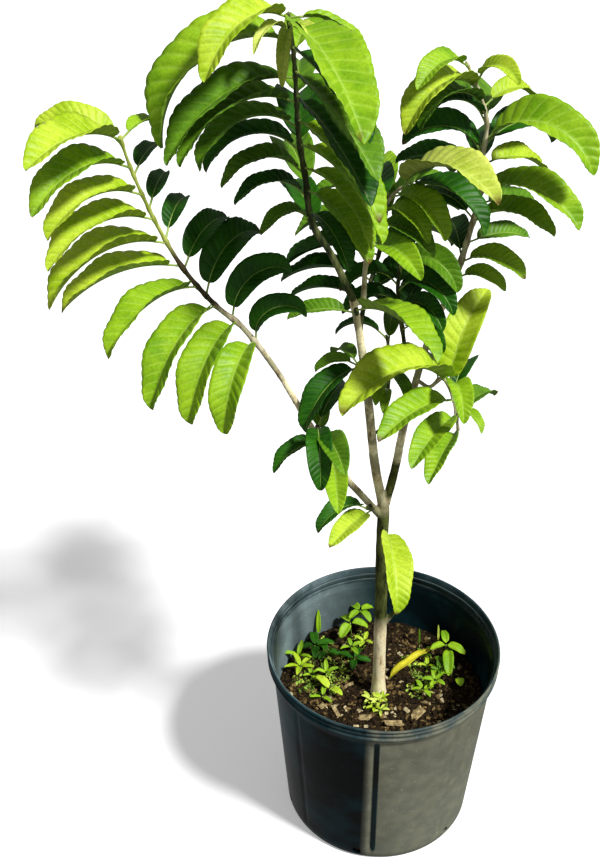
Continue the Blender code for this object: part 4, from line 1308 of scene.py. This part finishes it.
WEEDS = [
    # x, y, stem height, first azimuth, leaves, length, aspect, rise, droop, tint
    (0.085, 0.056, 0.027, 85, 3, 0.024, 0.52, 22, -18, "b"),
    (0.088, 0.050, 0.024, 278, 1, 0.036, 0.42, 0, -38, "b"),
    (0.089, 0.024, 0.013, 200, 1, 0.010, 0.95, 10, -6, "b"),
    (0.096, 0.012, 0.011, 285, 1, 0.012, 0.90, 10, -6, "b"),
    (-0.020, 0.112, 0.030, 35, 4, 0.018, 0.60, 10, -40, "b"),
    (-0.033, 0.096, 0.024, 230, 3, 0.021, 0.62, 5, -50, "b"),
    (-0.018, 0.078, 0.013, 60, 4, 0.014, 0.42, 35, -5, "l"),
    (-0.035, 0.064, 0.014, 110, 4, 0.014, 0.45, 30, -10, "b"),
    (-0.031, 0.050, 0.006, 70, 4, 0.018, 0.52, 20, -15, "d"),
    (-0.076, 0.094, 0.004, 102, 1, 0.036, 0.20, 78, 66, "b"),
    (-0.080, 0.070, 0.010, 10, 4, 0.022, 0.55, 15, -15, "d"),
    (-0.066, 0.062, 0.006, 350, 3, 0.018, 0.55, 15, -15, "d"),
    (-0.103, 0.055, 0.008, 80, 3, 0.022, 0.32, 50, 5, "b"),
    (-0.100, 0.036, 0.008, 120, 5, 0.019, 0.36, 35, -10, "l"),
    (-0.086, 0.024, 0.006, 20, 4, 0.013, 0.40, 35, 0, "b"),
    (-0.068, 0.020, 0.012, 95, 4, 0.015, 0.36, 50, 5, "b"),
    (-0.064, -0.002, 0.008, 130, 2, 0.022, 0.55, 30, -20, "l"),
    (-0.072, -0.010, 0.004, 190, 3, 0.014, 0.40, 25, -5, "b"),
    (0.074, 0.024, 0.012, 90, 4, 0.013, 0.45, 45, 0, "g"),
    (0.068, 0.010, 0.010, 30, 5, 0.014, 0.50, 35, -10, "b"),
    (0.052, 0.000, 0.006, 200, 4, 0.014, 0.45, 30, -15, "b"),
    (0.058, 0.052, 0.010, 140, 4, 0.012, 0.40, 50, 10, "g"),
    (0.060, 0.040, 0.006, 320, 3, 0.013, 0.45, 40, 0, "l"),
    (0.082, 0.034, 0.014, 150, 4, 0.013, 0.55, 30, -20, "g"),
    (0.054, 0.078, 0.004, 95, 1, 0.026, 0.10, 84, 70, "g"),
    (0.078, 0.084, 0.004, 85, 1, 0.024, 0.12, 84, 74, "y"),
    (0.010, 0.020, 0.001, 26, 1, 0.082, 0.18, 36, -8, "s"),
    (-0.014, -0.016, 0.004, 0, 6, 0.010, 0.42, 40, -5, "y"),
    (-0.006, -0.022, 0.004, 40, 6, 0.010, 0.42, 40, -5, "y"),
    (0.000, -0.017, 0.005, 10, 6, 0.009, 0.42, 45, 0, "l"),
    (-0.010, -0.026, 0.002, 200, 6, 0.009, 0.42, 30, -10, "l"),
    (-0.002, -0.031, 0.001, 280, 5, 0.009, 0.40, 25, -15, "y"),
]
MOSS = [  # x, y and radius of each patch
    (-0.088, 0.046, 0.020), (-0.072, 0.012, 0.022), (-0.094, 0.016, 0.016),
    (-0.056, 0.052, 0.016), (-0.050, 0.030, 0.014), (-0.072, 0.078, 0.016),
    (0.058, 0.024, 0.020), (0.074, 0.046, 0.016), (0.048, 0.002, 0.014),
    (-0.008, -0.022, 0.014), (-0.026, 0.088, 0.016), (0.040, 0.050, 0.012)]
WEED_STEM = 0.0006
WEED_STALK = 0.002
WEED_THICK = 0.0003

sprouts = []
bm = bmesh.new()
chance = random.Random(41)
for x, y, tall, first, count, length, aspect, rise, droop, letter in WEEDS:
    foot = Vector((x, y, soil_height(x, y) - 0.001))
    top = foot + Vector((chance.uniform(-0.1, 0.1) * tall, chance.uniform(-0.1, 0.1) * tall,
                         tall + 0.001))
    add_skin(bm, [ring_round(p, Vector((0.02, 0, 1)).normalized(), WEED_STEM, 6)
                  for p in (foot, foot.lerp(top, 0.5), top)])
    for i in range(count):
        size = length * chance.uniform(0.85, 1.15)
        leaf = Leaf(top, first + 360 * i / count + chance.uniform(-12, 12),
                    rise + chance.uniform(-8, 8), droop + chance.uniform(-8, 8), size,
                    chance.uniform(-12, 12), size * aspect)
        sprouts.append((letter, leaf))
weed_stems = meshed("weed_stems", bm, bpy.data.materials["stalk_green"])
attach(weed_stems, "root")
for face in [f for f in bare_top.faces
             if not any((f.calc_center_median().xy - Vector((x, y))).length < radius
                        for x, y, radius in MOSS)]:
    bare_top.faces.remove(face)
for letter, density, seed in (("g", 38000.0, 21), ("b", 30000.0, 22), ("l", 17000.0, 23)):
    shape = chip_shape("moss_shape", 0.0085, 0.0040, 0.0005, seed)
    moss = link("moss_" + TINTS[letter][0], bpy.data.meshes.new("moss"))
    bare_top.to_mesh(moss.data)
    run_nodes(moss, scatter, Chip=shape, Density=density, Smallest=0.35, Largest=1.1, Tumble=1.3,
              Seed=seed, Material=bpy.data.materials["leaf_" + TINTS[letter][0] + "_under"])
    bpy.data.objects.remove(shape)
    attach(moss, "root")
bare_top.free()
for letter, (tint, *_) in TINTS.items():
    chosen = [(leaf, WEED_STALK) for given, leaf in sprouts if given == letter]
    if chosen:
        made = blades("weeds_" + tint, chosen, bpy.data.materials["leaf_" + tint],
                      bpy.data.materials["leaf_" + tint + "_under"], WEED_THICK, Rows=12,
                      Columns=4, Veins=3.0, Quilting=0.02)
        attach(made, "root")


# ================================================== floor, lights and camera
# The pot stands on a plain pale floor, which neither lights the plant nor shows
# in the pot's sheen. Soft daylight comes from all round, and a soft sun from
# high on the right. The camera looks down at the plant.

floor_mesh = bpy.data.meshes.new("floor")
floor_mesh.from_pydata([(-6, -6, 0), (6, -6, 0), (6, 6, 0), (-6, 6, 0)], [], [(0, 1, 2, 3)])
pale, tree, shader, place = new_material("floor_pale", Roughness=0.75, Emission_Strength=0.28,
                                         Emission_Color=(1.0, 1.0, 1.0, 1.0))
paint(tree, shader, Base_Color=ramp(tree, noise_at(tree, place, 3.0, 3.0), (0.3, 0.83),
                                    (0.7, 0.87)))
floor = link("floor", floor_mesh, pale)
floor.visible_diffuse = False
floor.visible_glossy = False

world = bpy.data.worlds.new("studio")
world.use_nodes = True
tree = world.node_tree
WHITE = (1.0, 1.0, 1.0, 1.0)
daylight = tree.nodes["Background"]
daylight.inputs["Color"].default_value = WHITE
daylight.inputs["Strength"].default_value = 0.30
backdrop = add_node(tree, "ShaderNodeBackground", Color=WHITE)
seen = add_node(tree, "ShaderNodeLightPath")
either = add_node(tree, "ShaderNodeMixShader", seen.outputs["Is Camera Ray"],
                  daylight.outputs[0], backdrop.outputs[0])
tree.links.new(either.outputs[0], tree.nodes["World Output"].inputs["Surface"])
bpy.context.scene.world = world

key = bpy.data.lights.new("key", "SUN")
key.energy = 4.1
key.angle = math.radians(8)
lamp = link("key", key)
lamp.rotation_euler = heading(-38, 53).to_track_quat("Z", "Y").to_euler()

CAMERA_PLACE = (-0.100, -1.129, 1.369)
CAMERA_PITCH = 35.2
SENSOR = 36.0
FOCAL_PIXELS = 1300.0
IMAGE_HEIGHT = 859
eye = bpy.data.cameras.new("camera")
eye.sensor_width = SENSOR
eye.lens = FOCAL_PIXELS / IMAGE_HEIGHT * SENSOR
camera = link("camera", eye)
camera.location = CAMERA_PLACE
camera.rotation_euler = (math.radians(90 - CAMERA_PITCH), 0, 0)
bpy.context.scene.camera = camera
bpy.context.scene.view_settings.view_transform = "Standard"
